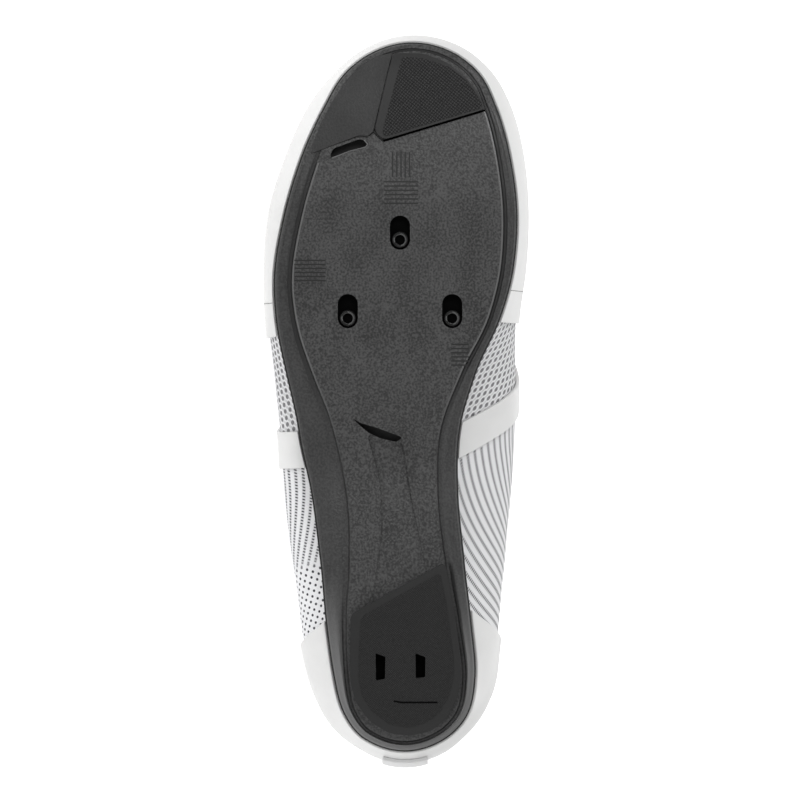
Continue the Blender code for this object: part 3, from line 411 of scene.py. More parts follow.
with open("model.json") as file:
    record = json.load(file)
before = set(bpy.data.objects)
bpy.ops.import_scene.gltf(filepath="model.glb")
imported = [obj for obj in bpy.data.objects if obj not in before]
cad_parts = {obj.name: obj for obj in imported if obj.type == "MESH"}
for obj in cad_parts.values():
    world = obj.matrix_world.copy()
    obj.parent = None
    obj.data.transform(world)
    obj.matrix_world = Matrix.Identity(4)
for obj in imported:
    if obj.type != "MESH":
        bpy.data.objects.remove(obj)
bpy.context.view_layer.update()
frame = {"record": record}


def shoe_pose(record):
    """The matrix from the shoe's own frame to the resting shoe, from the record's mounts."""
    mounts = {mount["name"]: mount for mount in record["mounts"]}
    heel = Vector(mounts["heel_rest"]["pos_m"])
    ball = Vector(mounts["cleat_seat"]["pos_m"])
    up = -Vector(mounts["heel_rest"]["axis"]).normalized()
    ahead = ball - heel
    ahead = (ahead - up * ahead.dot(up)).normalized()
    side = up.cross(ahead)
    origin = heel - HEEL_REST_AT * ahead
    turn = Matrix((ahead, side, up)).transposed().to_4x4()
    return Matrix.Translation(origin) @ turn


POSE = shoe_pose(frame["record"])


class Profile:
    """A smooth curve through the rows of a table: one column's value anywhere along the shoe."""

    def __init__(self, places, values):
        self.places = np.array(places, float)
        self.values = np.array(values, float)
        steps = np.diff(self.places)
        rises = np.diff(self.values) / steps
        self.slopes = np.concatenate([rises[:1], np.zeros(len(rises) - 1), rises[-1:]])
        for k in range(1, len(rises)):
            before, after = rises[k - 1], rises[k]
            if before * after > 0.0:
                heavy, light = 2 * steps[k] + steps[k - 1], steps[k] + 2 * steps[k - 1]
                self.slopes[k] = (heavy + light) / (heavy / before + light / after)

    def __call__(self, at):
        at = min(max(at, self.places[0]), self.places[-1])
        low = int(np.searchsorted(self.places, at, side="right")) - 1
        low = min(low, len(self.places) - 2)
        step = self.places[low + 1] - self.places[low]
        s = (at - self.places[low]) / step
        return (
            (2 * s**3 - 3 * s**2 + 1) * self.values[low]
            + (s**3 - 2 * s**2 + s) * step * self.slopes[low]
            + (3 * s**2 - 2 * s**3) * self.values[low + 1]
            + (s**3 - s**2) * step * self.slopes[low + 1]
        )


def profiles(columns, rows):
    """One Profile for each named column of a table whose first column is the place."""
    places = [row[0] for row in rows]
    return {name: Profile(places, [row[k + 1] for row in rows]) for k, name in enumerate(columns)}


def turn_of(at):
    """The angle round an outline, 0 at the heel and pi at the toe, for a place along it."""
    return math.acos(max(-1.0, min(1.0, 1.0 - 2.0 * at)))


def place_of(turn):
    """The place along an outline, 0 to 1, for an angle round it."""
    return (1.0 - math.cos(turn)) / 2.0


class Outline:
    """A closed outline, round at heel and toe, from half widths on each side."""

    def __init__(self, rows, start, length, width):
        places = [row[0] for row in rows]
        full = [(row[1] + row[2]) * width / 2.0 / math.sin(turn_of(row[0])) for row in rows]
        middle = [(row[2] - row[1]) * width / 2.0 for row in rows]
        self.start = start
        self.length = length
        self.full = Profile(places, full)
        self.middle = Profile(places, middle)

    def point(self, turn):
        """The point at an angle: positive turns on the medial side, negative on the lateral."""
        at = place_of(turn)
        y = self.middle(at) + self.full(at) * math.sin(turn)
        return np.array([self.start + at * self.length, y])

    def inset(self, turn, depth):
        """The point that lies a depth inward of the outline."""
        along = self.point(turn + OUTLINE_STEP) - self.point(turn - OUTLINE_STEP)
        along /= np.linalg.norm(along)
        return self.point(turn) + depth * np.array([along[1], -along[0]])


SIDE = profiles(SIDE_COLUMNS, SIDE_ROWS)
RIB = profiles(RIB_COLUMNS, RIB_ROWS)
SOLE_EDGE = Outline(SOLE_ROWS, HEEL_START + HEEL_OVERHANG, SOLE_LENGTH, SOLE_WIDTH)
BULGE = Outline(BULGE_ROWS, HEEL_START, UPPER_LENGTH, UPPER_WIDTH)
COLLAR = Outline(COLLAR_ROWS, COLLAR_SETBACK, UPPER_LENGTH, COLLAR_WIDTH)
BAND_LINES = {
    side: Profile((0.0, BAND_MIDDLE, 1.0), places)
    for side, places in ((LATERAL, BAND_LATERAL), (MEDIAL, BAND_MEDIAL))
}

# Along the sole: share of the border's dip, height of its bead, depth of the waist's channel
DIP_SHARE = Profile((0.0, 0.12, 0.30, 1.0), (0.0, 0.0, 1.0, 1.0))
HEEL_BEAD = Profile((0.0, 0.10, 0.22, 0.34, 1.0), (0.0015, 0.0014, 0.0008, 0.0, 0.0))
CHANNEL_DEPTH = Profile((0.15, 0.27, 0.36, 0.45), (0.0004, 0.0006, 0.0013, 0.0021))


def on_sole(point):
    """A point in plan from its shares of the sole's length and width."""
    return (SOLE_EDGE.start + point[0] * SOLE_LENGTH, point[1] * SOLE_WIDTH)


def sole_place(x):
    """The place along the sole, 0 to 1, of an X."""
    return min(max((x - SOLE_EDGE.start) / SOLE_LENGTH, 0.0), 1.0)


@lru_cache(maxsize=None)
def bottom(x):
    """Height of the sole's border from below."""
    at = sole_place(x)
    heel_step = HEEL_PAD + GAP + PLATE_STEP - BALL_CLEARANCE
    return (
        BALL_CLEARANCE
        + heel_step * SIDE["heel"](at)
        + WAIST_RISE * SIDE["waist"](at)
        + TOE_SPRING * SIDE["toe"](at)
    )


def rim(x, turn):
    """Height of the sole's rim, where the upper stands."""
    at = sole_place(x)
    wrap = ARCH_WRAP * SIDE["arch"](at) if turn > 0 else 0.0
    return bottom(x) + RIM_HEIGHT * SIDE["rim"](at) + wrap


def footbed(x):
    """Height of the sole's inner floor."""
    return bottom(x) + PLATE


def spline(points):
    """Lengths along the chords of a row of points, and the direction of the curve at each."""
    points = np.array(points)
    chords = np.linalg.norm(np.diff(points, axis=0), axis=1)
    along = np.concatenate([[0.0], np.cumsum(chords)])
    rises = np.diff(points, axis=0) / chords[:, None]
    before, after = chords[:-1, None], chords[1:, None]
    inner = (rises[:-1] * after + rises[1:] * before) / (before + after)
    first = 1.5 * rises[0] - 0.5 * inner[0]
    last = 1.5 * rises[-1] - 0.5 * inner[-1]
    return points, along, np.vstack([first, inner, last])


def on_spline(curve, distance):
    """The point of a curve at a distance along its chords."""
    points, along, slopes = curve
    low = int(np.searchsorted(along, distance, side="right")) - 1
    low = min(max(low, 0), len(along) - 2)
    step = along[low + 1] - along[low]
    s = (distance - along[low]) / step
    return (
        (2 * s**3 - 3 * s**2 + 1) * points[low]
        + (s**3 - 2 * s**2 + s) * step * slopes[low]
        + (3 * s**2 - 2 * s**3) * points[low + 1]
        + (s**3 - s**2) * step * slopes[low + 1]
    )


def throat_start():
    """The X at which the throat's straight sides end in front."""
    return HEEL_START + THROAT_START * UPPER_LENGTH


def edge_point(turn):
    """A point of the top edge: the collar, the throat's sides and its round front end."""
    throat = throat_start()
    start = (throat - COLLAR_SETBACK) / UPPER_LENGTH
    at = place_of(turn)
    side = 1.0 if turn > 0 else -1.0
    height = INSTEP_HEIGHT * RIB["edge_height"](at)
    if at <= start:
        x, y = COLLAR.point(turn)
        return np.array([x, y, height])
    swing = (abs(turn) - turn_of(start)) / (math.pi - turn_of(start)) * math.pi / 2.0
    x = throat + THROAT_RADIUS * math.sin(swing)
    return np.array([x, side * THROAT_RADIUS * math.cos(swing), height])


def rib_points(turn):
    """Foot, bulge, shoulder and top edge of one rib of the upper."""
    at = place_of(turn)
    side = "medial" if turn > 0 else "lateral"
    foot_xy = SOLE_EDGE.inset(turn, EDGE_ROUND)
    foot = np.array([*foot_xy, rim(foot_xy[0], turn) + GAP])
    bulge = np.array([*BULGE.point(turn), BULGE_HEIGHT * RIB["bulge_" + side](at)])
    edge = edge_point(turn)
    inward, upward = RIB["in_" + side](at), RIB["up_" + side](at)
    shoulder = bulge + (edge - bulge) * np.array([inward, inward, upward])
    return foot, bulge, shoulder, edge


@lru_cache(maxsize=None)
def section(turn):
    """The curve across the shoe: lateral rib (points 0 to 3), crown (4) and medial rib (5 to 8)."""
    turn = max(abs(turn), TINY_TURN)
    lateral, medial = rib_points(-turn), rib_points(turn)
    crown = (lateral[3] + medial[3]) / 2.0
    crown[2] += CROWN_RISE * RIB["crown"](place_of(turn))
    crown[0] = min(crown[0], throat_start())
    points, along, slopes = spline([*lateral, crown, *medial[::-1]])
    slopes[1] = (0.0, 0.0, 1.0)
    slopes[7] = (0.0, 0.0, -1.0)
    return points, along, slopes


def upper_point(turn, rise):
    """A point of the upper's outer surface, rise 0 at the sole and 1 at the top edge."""
    curve = section(abs(turn))
    along = curve[1]
    if turn < 0:
        return on_spline(curve, rise * along[3])
    return on_spline(curve, along[8] - rise * (along[8] - along[5]))


def across_point(turn, across):
    """A point of the closed form over the instep, across -1 at the lateral foot, 1 at the medial."""
    curve = section(turn)
    along = curve[1]
    if abs(across) <= THROAT_SHARE:
        share = (across + THROAT_SHARE) / (2.0 * THROAT_SHARE)
        return on_spline(curve, along[3] + share * (along[5] - along[3]))
    rise = (1.0 - abs(across)) / (1.0 - THROAT_SHARE)
    return upper_point(turn * math.copysign(1.0, across), rise)


def offset_point(surface, first, second, distance):
    """A point that stands off a surface, outward, by a distance."""
    step = SURFACE_STEP
    along = surface(first + step, second) - surface(first - step, second)
    up = surface(first, second + step) - surface(first, second - step)
    normal = np.cross(up, along)
    normal /= np.linalg.norm(normal)
    return surface(first, second) + distance * normal


def rises_between(low, high, steps=RIB_STEPS):
    """Rows between two heights, closer together at the bulge, with both ends."""
    rows = [(n / steps) ** RIB_CROWDING for n in range(steps + 1)]
    margin = ROW_MARGIN if low > 0.0 else 0.0
    return [low, *[rise for rise in rows if low + margin < rise < high - margin], high]


def upper_offset(turn, rise, distance):
    """Offset from the upper, outward on both sides."""
    rise = min(max(rise, SURFACE_STEP), 1.0 - SURFACE_STEP)
    return offset_point(upper_point, turn, rise, distance)


def across_offset(turn, across, distance):
    """Offset from the closed form over the instep, outward."""
    return offset_point(across_point, turn, across, -distance)


def wrap(turn):
    """The same angle, measured from the heel, between -pi and pi."""
    return (turn + math.pi) % (2.0 * math.pi) - math.pi


class Wire:
    """A node's output; each sum or product written with it adds a Math node."""

    def __init__(self, look, socket):
        self.look = look
        self.socket = socket

    def __add__(self, other):
        return self.look.math("ADD", self, other)

    def __sub__(self, other):
        return self.look.math("SUBTRACT", self, other)

    def __rsub__(self, other):
        return self.look.math("SUBTRACT", other, self)

    def __mul__(self, other):
        return self.look.math("MULTIPLY", self, other)

    def __truediv__(self, other):
        return self.look.math("DIVIDE", self, other)

    def __abs__(self):
        return self.look.math("ABSOLUTE", self)


def with_alpha(colour):
    """A colour as its socket takes it, unless it is a node's output."""
    return colour if isinstance(colour, Wire) else (*colour, 1.0)


class Look:
    """One node material, with short calls for its nodes."""

    def __init__(self, name, roughness=0.5, metallic=0.0, specular=0.5):
        self.material = bpy.data.materials.new(name)
        self.material.use_nodes = True
        self.nodes = self.material.node_tree.nodes
        self.links = self.material.node_tree.links
        self.shader = self.nodes["Principled BSDF"].inputs
        self.shader["Roughness"].default_value = roughness
        self.shader["Metallic"].default_value = metallic
        self.shader["Specular IOR Level"].default_value = specular
        to_shoe = {
            "Vector": self.node("TexCoord", {}, "Object"),
            "Location": POSE.translation,
            "Rotation": POSE.to_euler(),
        }
        self.place = self.node("Mapping", to_shoe, vector_type="TEXTURE")

    def put(self, socket, value):
        """Link an output to a socket, or set a plain value on it."""
        if isinstance(value, Wire):
            self.links.new(value.socket, socket)
        else:
            socket.default_value = value

    def node(self, kind, inputs, output=0, **settings):
        """One output of a new node with its settings and inputs."""
        node = self.nodes.new("ShaderNode" + kind)
        for name, value in settings.items():
            setattr(node, name, value)
        for name, value in inputs.items():
            self.put(node.inputs[name], value)
        return Wire(self, node.outputs[output])

    def math(self, operation, *values):
        """A Math node."""
        return self.node("Math", dict(enumerate(values)), operation=operation)

    def noise(self, scale, detail=2.0, stretch=None):
        """Fractal noise between 0 and 1; stretch is a scale for each axis."""
        place = self.place
        if stretch:
            place = self.node("Mapping", {"Vector": place, "Scale": stretch})
        return self.node("TexNoise", {"Vector": place, "Scale": scale, "Detail": detail})

    def cells(self, scale):
        """Distances in a cell pattern."""
        return self.node("TexVoronoi", {"Vector": self.place, "Scale": scale}, "Distance")

    def value(self, name):
        """A named value stored on the mesh's corners."""
        return self.node("Attribute", {}, "Fac", attribute_name=name)

    def span(self, value, low, high, start=0.0, end=1.0):
        """A value's span mapped to another, smoothly and clamped."""
        names = ("Value", "From Min", "From Max", "To Min", "To Max")
        inputs = dict(zip(names, (value, low, high, start, end)))
        return self.node("MapRange", inputs, interpolation_type="SMOOTHSTEP")

    def mix(self, factor, first, second):
        """A mix of two colours."""
        node = self.nodes.new("ShaderNodeMix")
        node.data_type = "RGBA"
        self.put(node.inputs[0], factor)
        colours = [socket for socket in node.inputs if socket.type == "RGBA"]
        for socket, colour in zip(colours, (first, second)):
            self.put(socket, with_alpha(colour))
        return Wire(self, next(socket for socket in node.outputs if socket.type == "RGBA"))

    def axis(self, index):
        """One coordinate of the shoe's own frame."""
        return self.node("SeparateXYZ", {0: self.place}, index)

    def bump(self, height, strength, distance, below=None):
        """A bump node on the shader's normal, over an earlier one."""
        inputs = {"Strength": strength, "Distance": distance, "Height": height}
        if below:
            inputs["Normal"] = below
        normal = self.node("Bump", inputs)
        self.put(self.shader["Normal"], normal)
        return normal

    def colour(self, value):
        """The shader's base colour."""
        self.put(self.shader["Base Color"], with_alpha(value))

    def rough(self, value, low, high):
        """The shader's roughness: a noise value spread between two levels."""
        self.put(self.shader["Roughness"], self.span(value, 0.3, 0.7, low, high))


def grey(tone):
    """A neutral colour."""
    return (tone, tone, tone)


def shaded(colour, share):
    """A colour made darker or paler by a share."""
    return tuple(min(1.0, channel * share) for channel in colour)


def composite_look(name, dark, light, rough, shade_highlight_tone=None, span=(0.0, 1.0)):
    """Dark fibre composite: a faint cloud and fine grain; an optional painted highlight or painted
    shade tone is full at the span's first X.
    """
    look = Look(name, rough)
    cloud = look.noise(scale=55.0, detail=3.0, stretch=(1.0, 1.6, 1.0))
    grain = look.noise(scale=1150.0, detail=1.0)
    speck = look.noise(scale=2600.0, detail=1.0)
    tone = look.span(cloud * 0.2 + grain * 0.8, 0.34, 0.66)
    colour = look.mix(tone, grey(dark), grey(light))
    # Painted highlight (border, ridge) or painted shade (trough): a paler or darker tone that fades
    # along X
    if shade_highlight_tone:
        full, none = span
        ends = (float(full < none), float(full > none))
        share = look.span(look.axis(0), min(span), max(span), *ends)
        colour = look.mix(share, colour, grey(shade_highlight_tone))
    look.colour(colour)
    look.rough(cloud, rough - 0.06, rough + 0.08)
    first = look.bump(grain, strength=0.55, distance=0.00022)
    look.bump(speck, strength=0.35, distance=0.00008, below=first)
    return look.material


def knurl_look(name, pitch, colour, groove_shade):
    """Rubber with small raised diamonds; the last argument is the tone of the grooves as a share of
    the colour: painted shade in the grooves.
    """
    look = Look(name, 0.68, specular=0.35)
    ahead, aside = look.axis(0), look.axis(1)
    waves = []
    for axis in (ahead + aside * KNURL_SLOPE, ahead * KNURL_SLOPE - aside):
        waves.append(abs(look.math("SINE", axis * (math.pi / pitch))))
    grain = look.noise(scale=1300.0)
    groove = look.span(look.math("MINIMUM", *waves), 0.12, 0.55)
    tone = groove * look.span(grain, 0.25, 0.65, 0.35, 1.0)
    # Painted shade: the grooves between the diamonds are darker in the colour.
    look.colour(look.mix(tone, shaded(colour, groove_shade), colour))
    first = look.bump(groove, strength=1.0, distance=0.0006)
    look.bump(grain, strength=0.5, distance=0.00015, below=first)
    return look.material


def rubber_look():
    """Plain smooth rubber for the pads' sides and bars."""
    look = Look("pad_side", 0.5, specular=0.4)
    grain = look.noise(scale=1400.0)
    look.colour(look.mix(grain, grey(0.006), grey(0.010)))
    look.bump(grain, strength=0.3, distance=0.0001)
    return look.material


def steel_look():
    """Blackened steel of the cleat inserts."""
    look = Look("nut_steel", metallic=0.9)
    grain = look.noise(scale=1800.0)
    look.colour(look.mix(grain, grey(0.035), grey(0.10)))
    look.rough(grain, 0.12, 0.24)
    look.bump(grain, strength=0.2, distance=0.00005)
    return look.material


def knit_look():
    """White bonded knit: rows of grey stitches before the band, dotted grey lines behind it."""
    look = Look("knit", 0.82, specular=0.3)
    lines, dots, zone, sparse, top = (look.value(name) for name in KNIT_VALUES)

    def cell(phase):
        """A phase as a place in its cell, -1 to 1."""
        return (look.math("FRACT", phase) - 0.5) * 2.0

    def lobe(first, second, halves, edge):
        """1 in an oval with two half widths, 0 outside, and soft over the edge's span."""
        a, b = first / halves[0], second / halves[1]
        return look.span(look.math("SQRT", a * a + b * b), *edge, 1.0, 0.0)

    line, dot = cell(lines), cell(dots)
    side_stitch = lobe(line + dot * MESH_SKEW, dot, STITCH_HALVES, STITCH_EDGE)
    ahead, aside = look.axis(0), abs(look.axis(1))
    top_line = cell((aside + ahead * TOP_LEAN) / TOP_PITCH)
    top_dot = cell(ahead / TOP_STITCH)
    top_stitch = lobe(top_line - top_dot * TOP_LEAN, top_dot, STITCH_HALVES, STITCH_EDGE)
    front = look.span(zone, -ZONE_BLEND, ZONE_BLEND)
    dense = look.span(sparse, 0.55, 0.85)
    stitches = (side_stitch * (1.0 - top) + top_stitch * top) * front * dense

    open_part = look.span(sparse, 0.02, 0.10) * (1.0 - dense)
    fine_dot = lobe(line, dot, (0.46, 0.52), DOT_EDGE)
    far_dot = lobe(line, cell(dots * 0.5), (0.46, 0.50), DOT_EDGE)
    spots = (fine_dot * dense + far_dot * open_part) * (1.0 - front)
    halo = look.span(abs(line), 0.30, 0.60, 0.42, 0.0) * dense * (1.0 - top)

    loops = look.math("SINE", lines * (6.0 * math.pi)) * look.math("SINE", dots * (4.0 * math.pi))
    fuzz = look.noise(scale=2400.0)
    # Painted shade: the white knit is darker in the dips of its loops, where the loops' bump is low.
    colour = look.mix(look.span(loops, -0.9, 0.5), KNIT_SHADE, KNIT_WHITE)
    colour = look.mix(halo, colour, YARN_HALO)
    colour = look.mix(stitches, colour, look.mix(fuzz, YARN_DARK, YARN_HALO))
    look.colour(look.mix(spots, colour, look.mix(fuzz, YARN_DARK, YARN_GREY)))
    first = look.bump(loops, strength=0.35, distance=0.00022)
    second = look.bump(1.0 - (spots + stitches), strength=0.5, distance=0.00030, below=first)
    look.bump(fuzz, strength=0.25, distance=0.00012, below=second)
    return look.material


def film_look(name, colour, rough=0.42):
    """Soft polymer film over knit, with the knit showing through a little."""
    look = Look(name, rough, specular=0.45)
    weave = look.cells(scale=900.0)
    cloud = look.noise(scale=60.0, detail=3.0)
    look.colour(look.mix(look.span(cloud, 0.3, 0.7), colour, shaded(colour, 1.05)))
    look.rough(cloud, rough - 0.05, rough + 0.08)
    look.bump(weave, strength=0.18, distance=0.00012)
    return look.material


def lining_look(name, colour):
    """Soft brushed textile of the lining and the insole's top."""
    look = Look(name, 0.95, specular=0.2)
    weave = look.cells(scale=850.0)
    fuzz = look.noise(scale=2200.0, detail=3.0)
    look.colour(look.mix(look.span(weave, 0.1, 0.6), colour, shaded(colour, 0.72)))
    first = look.bump(weave, strength=0.5, distance=0.00025)
    look.bump(fuzz, strength=0.5, distance=0.0002, below=first)
    look.shader["Sheen Weight"].default_value = 0.3
    return look.material


def plain_look(name, colour, rough, specular=0.35):
    """A fine-grained plain surface, for marks, thread and edges."""
    look = Look(name, rough, specular=specular)
    noise = look.noise(scale=1800.0)
    look.colour(look.mix(noise, shaded(colour, 0.85), colour))
    look.bump(noise, strength=0.4, distance=0.00008)
    return look.material


LOOKS = {
    "composite": composite_look("composite", 0.009, 0.051, 0.44),
    "facet": composite_look("facet", 0.006, 0.012, 0.50),
    # border: a painted highlight, paler over the heel's bead and fading out forward of it
    "border": composite_look("border", 0.016, 0.034, 0.40, 0.120, HEEL_HIGHLIGHT_SPAN),
    # trough: painted shade, a darker strip in the dip beside the plate's step, darkest in the
    # forefoot
    "trough": composite_look("trough", 0.016, 0.036, 0.50, 0.005, WAIST_SHADE_AND_HIGHLIGHT_SPAN),
    # ridge: a painted highlight, a paler strip along the plate's step edge and the vent's lip, full
    # in the forefoot
    "ridge": composite_look("ridge", 0.022, 0.046, 0.32, 0.098, WAIST_SHADE_AND_HIGHLIGHT_SPAN),
    # edge: painted shade, the sole's rounded side and rim near-black and matte where they meet the
    # upper
    "edge": plain_look("edge", grey(0.010), 0.75, 0.12),
    "toe_knurl": knurl_look("toe_knurl", TOE_KNURL_PITCH, grey(0.031), 0.06),
    "heel_knurl": knurl_look("heel_knurl", HEEL_KNURL_PITCH, grey(0.024), 0.20),
    "pad_side": rubber_look(),
    "nut_steel": steel_look(),
    "knit": knit_look(),
    "film": film_look("film", (0.74, 0.74, 0.735)),
    "counter": film_look("counter", (0.72, 0.72, 0.715)),
    "strap": film_look("strap", grey(0.68), 0.5),
    "lining": lining_look("lining", (0.42, 0.42, 0.43)),
    "insole": lining_look("insole", (0.16, 0.16, 0.17)),
    # The insole's underside, seen only through the vent and slit: near-black, painted shade
    "insole_underside_shade": plain_look("insole_underside_shade", grey(0.035), 0.9, 0.1),
    "binding": plain_look("binding", (0.80, 0.80, 0.81), 0.8),
    "thread": plain_look("thread", (0.52, 0.52, 0.53), 0.7),
    "seam": plain_look("seam", grey(0.20), 0.8),
    "mark": plain_look("mark", grey(0.012), 0.5),
    # hole: near-black, painted shade inside the slots, vent, slit, pad slots and grooves
    "hole_shade": plain_look("hole_shade", grey(0.0015), 0.9, 0.05),
}


def in_scene(name, data):
    """A new object in the scene."""
    thing = bpy.data.objects.new(name, data)
    bpy.context.scene.collection.objects.link(thing)
    return thing


def new_object(name, mesh, *looks):
    """An object of the shoe: materials assigned, its mesh laid in the shoe's pose."""
    for look in looks:
        mesh.materials.append(LOOKS[look])
    mesh.transform(POSE)
    return in_scene(name, mesh)


def settle(thing, slot, *nodes):
    """The piece rides on the shoe and replaces its CAD nodes, which it hides; the slot is not used.
    """
    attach(thing, "root")
    if nodes:
        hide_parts(*nodes)


def smooth(thing, angle=FINE_ANGLE):
    """Smooth faces, sharp only at real edges."""
    thing.data.shade_smooth()
    thing.data.set_sharp_from_angle(angle=math.radians(angle))


def mesh_from(name, bm):
    """A mesh from a bmesh, which is then freed."""
    mesh = bpy.data.meshes.new(name)
    bm.to_mesh(mesh)
    bm.free()
    return mesh


def solid_from(name, bm):
    """A mesh from a closed bmesh, its faces turned outward."""
    bmesh.ops.recalc_face_normals(bm, faces=bm.faces)
    return mesh_from(name, bm)


def join_rows(bm, low, high, closed=True, look=0):
    """Quads between two rows of corners, with one material."""
    count = len(low)
    for k in range(count if closed else count - 1):
        n = (k + 1) % count
        bm.faces.new((low[k], low[n], high[n], high[k])).material_index = look


def draw_out(bm, corners, way):
    """A flat face drawn out along a vector."""
    base = bm.faces.new([bm.verts.new(corner) for corner in corners])
    drawn = bmesh.ops.extrude_face_region(bm, geom=[base])
    moved = [item for item in drawn["geom"] if isinstance(item, bmesh.types.BMVert)]
    bmesh.ops.translate(bm, verts=moved, vec=way)


def grid_mesh(name, rows, closed=False, values=None):
    """A surface of quads through rows of points, facing out of the shoe; values are stored on it."""
    bm = bmesh.new()
    grid = [[bm.verts.new(point) for point in row] for row in rows]
    for low, high in zip(grid[:-1], grid[1:]):
        join_rows(bm, low, high, closed)
    bmesh.ops.recalc_face_normals(bm, faces=bm.faces)
    outward = sum(
        face.calc_area() * face.normal.dot(face.calc_center_median() - Vector(INSIDE))
        for face in bm.faces
    )
    if outward < 0:
        bmesh.ops.reverse_faces(bm, faces=bm.faces)
    mesh = mesh_from(name, bm)
    for key, table in (values or {}).items():
        layer = mesh.attributes.new(key, "FLOAT", "POINT")
        layer.data.foreach_set("value", [item for row in table for item in row])
    return mesh


def thicken(thing, thickness, side, lining=0):
    """Give an open surface a wall, outward (1) or inward (-1); lining is the inner material."""
    wall = thing.modifiers.new("wall", "SOLIDIFY")
    wall.thickness = thickness
    wall.offset = side
    wall.use_even_offset = True
    wall.use_quality_normals = True
    wall.material_offset = lining
    wall.material_offset_rim = lining


def soften(thing, width, segments=2):
    """Round the sharp edges of a piece."""
    bevel = thing.modifiers.new("round", "BEVEL")
    bevel.width = width
    bevel.segments = segments
    bevel.limit_method = "ANGLE"
    bevel.angle_limit = math.radians(BEVEL_ANGLE)
    bevel.harden_normals = True


def cut(thing, cutter, operation="DIFFERENCE"):
    """A Boolean with the exact solver, applied at once; the cutter is removed."""
    boolean = thing.modifiers.new("cut", "BOOLEAN")
    boolean.operation = operation
    boolean.solver = "EXACT"
    boolean.object = cutter
    boolean.material_mode = "TRANSFER"
    bpy.context.view_layer.update()
    graph = bpy.context.evaluated_depsgraph_get()
    mesh = bpy.data.meshes.new_from_object(thing.evaluated_get(graph))
    thing.modifiers.clear()
    thing.data = mesh
    bpy.data.objects.remove(cutter)


def prism(name, outline, low, high, *looks):
    """A flat outline in plan, drawn up between two heights."""
    bm = bmesh.new()
    draw_out(bm, [(x, y, low) for x, y in outline], (0.0, 0.0, high - low))
    return new_object(name, solid_from(name, bm), *looks)


def plan_prism(outline, radius=0.0, *looks):
    """A cutter through the whole shoe, from an outline in shares of the sole."""
    shape = [on_sole(point) for point in outline]
    if radius:
        shape = rounded(shape, radius)
    return prism("plan", shape, 2 * BELOW, ABOVE, *looks)


def stadium(centre, length, width):
    """A slot's outline with round ends; its length lies along X."""
    radius = width / 2.0
    points = []
    for end in (1.0, -1.0):
        for k in range(SLOT_STEPS + 1):
            angle = -math.pi / 2.0 + math.pi * k / SLOT_STEPS
            x = end * (length / 2.0 - radius) + end * radius * math.cos(angle)
            points.append((centre[0] + x, centre[1] + end * radius * math.sin(angle)))
    return points


def rounded(points, radius):
    """An outline with its corners turned into arcs."""
    result = []
    for k, corner in enumerate(points):
        before, corner = Vector(points[k - 1]), Vector(corner)
        after = Vector(points[(k + 1) % len(points)])
        reach = min(radius, *(CORNER_REACH * (end - corner).length for end in (before, after)))
        start = corner + (before - corner).normalized() * reach
        end = corner + (after - corner).normalized() * reach
        for n in range(CORNER_STEPS + 1):
            s = n / CORNER_STEPS
            point = (1 - s) ** 2 * start + 2 * s * (1 - s) * corner + s**2 * end
            result.append((point.x, point.y))
    return result


def under(depth):
    """A height that stays a depth below the sole's border."""
    return lambda x: bottom(x) - depth


def side_slab(name, low, high, look):
    """A slab across the whole sole, between two heights that change along it."""
    turns = [math.pi * k / SLAB_STEPS for k in range(SLAB_STEPS + 1)]
    stations = [SOLE_EDGE.start + SOLE_LENGTH * place_of(turn) for turn in turns]
    outline = [(x, low(x)) for x in stations] + [(x, high(x)) for x in reversed(stations)]
    bm = bmesh.new()
    draw_out(bm, [(x, -SOLE_WIDTH, z) for x, z in outline], (0.0, 2.0 * SOLE_WIDTH, 0.0))
    return new_object(name, solid_from(name, bm), look)


def plan_slab(name, outline, radius, low, high, look):
    """A slab between two heights with an outline in shares of the sole."""
    slab = side_slab(name, low, high, look)
    cut(slab, plan_prism(outline, radius), "INTERSECT")
    return slab


def ring_mesh(name, rings, stations=STATIONS, strips=None):
    """A closed solid from rings round the shoe, filled across at the first and the last ring.

    strips holds the material index of each strip between two rings.
    """
    turns = [math.pi * k / stations for k in range(-stations, stations)]
    bm = bmesh.new()
    grid = [[bm.verts.new(ring(turn)) for turn in turns] for ring in rings]
    for strip, (low, high) in enumerate(zip(grid[:-1], grid[1:])):
        join_rows(bm, low, high, look=strips[strip] if strips else 0)
    count = len(turns)
    for ring in (grid[0], grid[-1]):
        for k in range(stations):
            lateral = (ring[k], ring[k + 1])
            medial = (ring[(count - k) % count], ring[count - k - 1])
            corners = []
            for vert in (*lateral, *reversed(medial)):
                if vert not in corners:
                    corners.append(vert)
            bm.faces.new(corners)
    return solid_from(name, bm)


def plate_inset(turn):
    """How far in from the edge the stiff plate's step lies."""
    at_end = min(abs(turn), abs(abs(turn) - math.pi)) < TINY_TURN
    side = "plate_medial" if turn > 0 and not at_end else "plate_lateral"
    return SOLE_WIDTH * SIDE[side](place_of(turn))


def sole_ring(inset, height):
    """A ring of the sole at an inset from its edge and a height that follows its side view."""

    def ring(turn):
        depth = inset(turn) if callable(inset) else inset
        x, y = SOLE_EDGE.inset(turn, depth)
        return (x, y, height(x, turn))

    return ring


def sole_path(points, depth):
    """Points in shares of the sole, a depth below its border."""
    return [(x, y, bottom(x) - depth) for x, y in map(on_sole, points)]


def cleat_places():
    """Centres of the three cleat slots: one in front, two behind."""
    rear, middle = on_sole((REAR_SLOTS_AT, 0.0))
    return {
        "front": (rear + CLEAT_HEIGHT, middle),
        "lateral": (rear, middle - CLEAT_BASE / 2),
        "medial": (rear, middle + CLEAT_BASE / 2),
    }


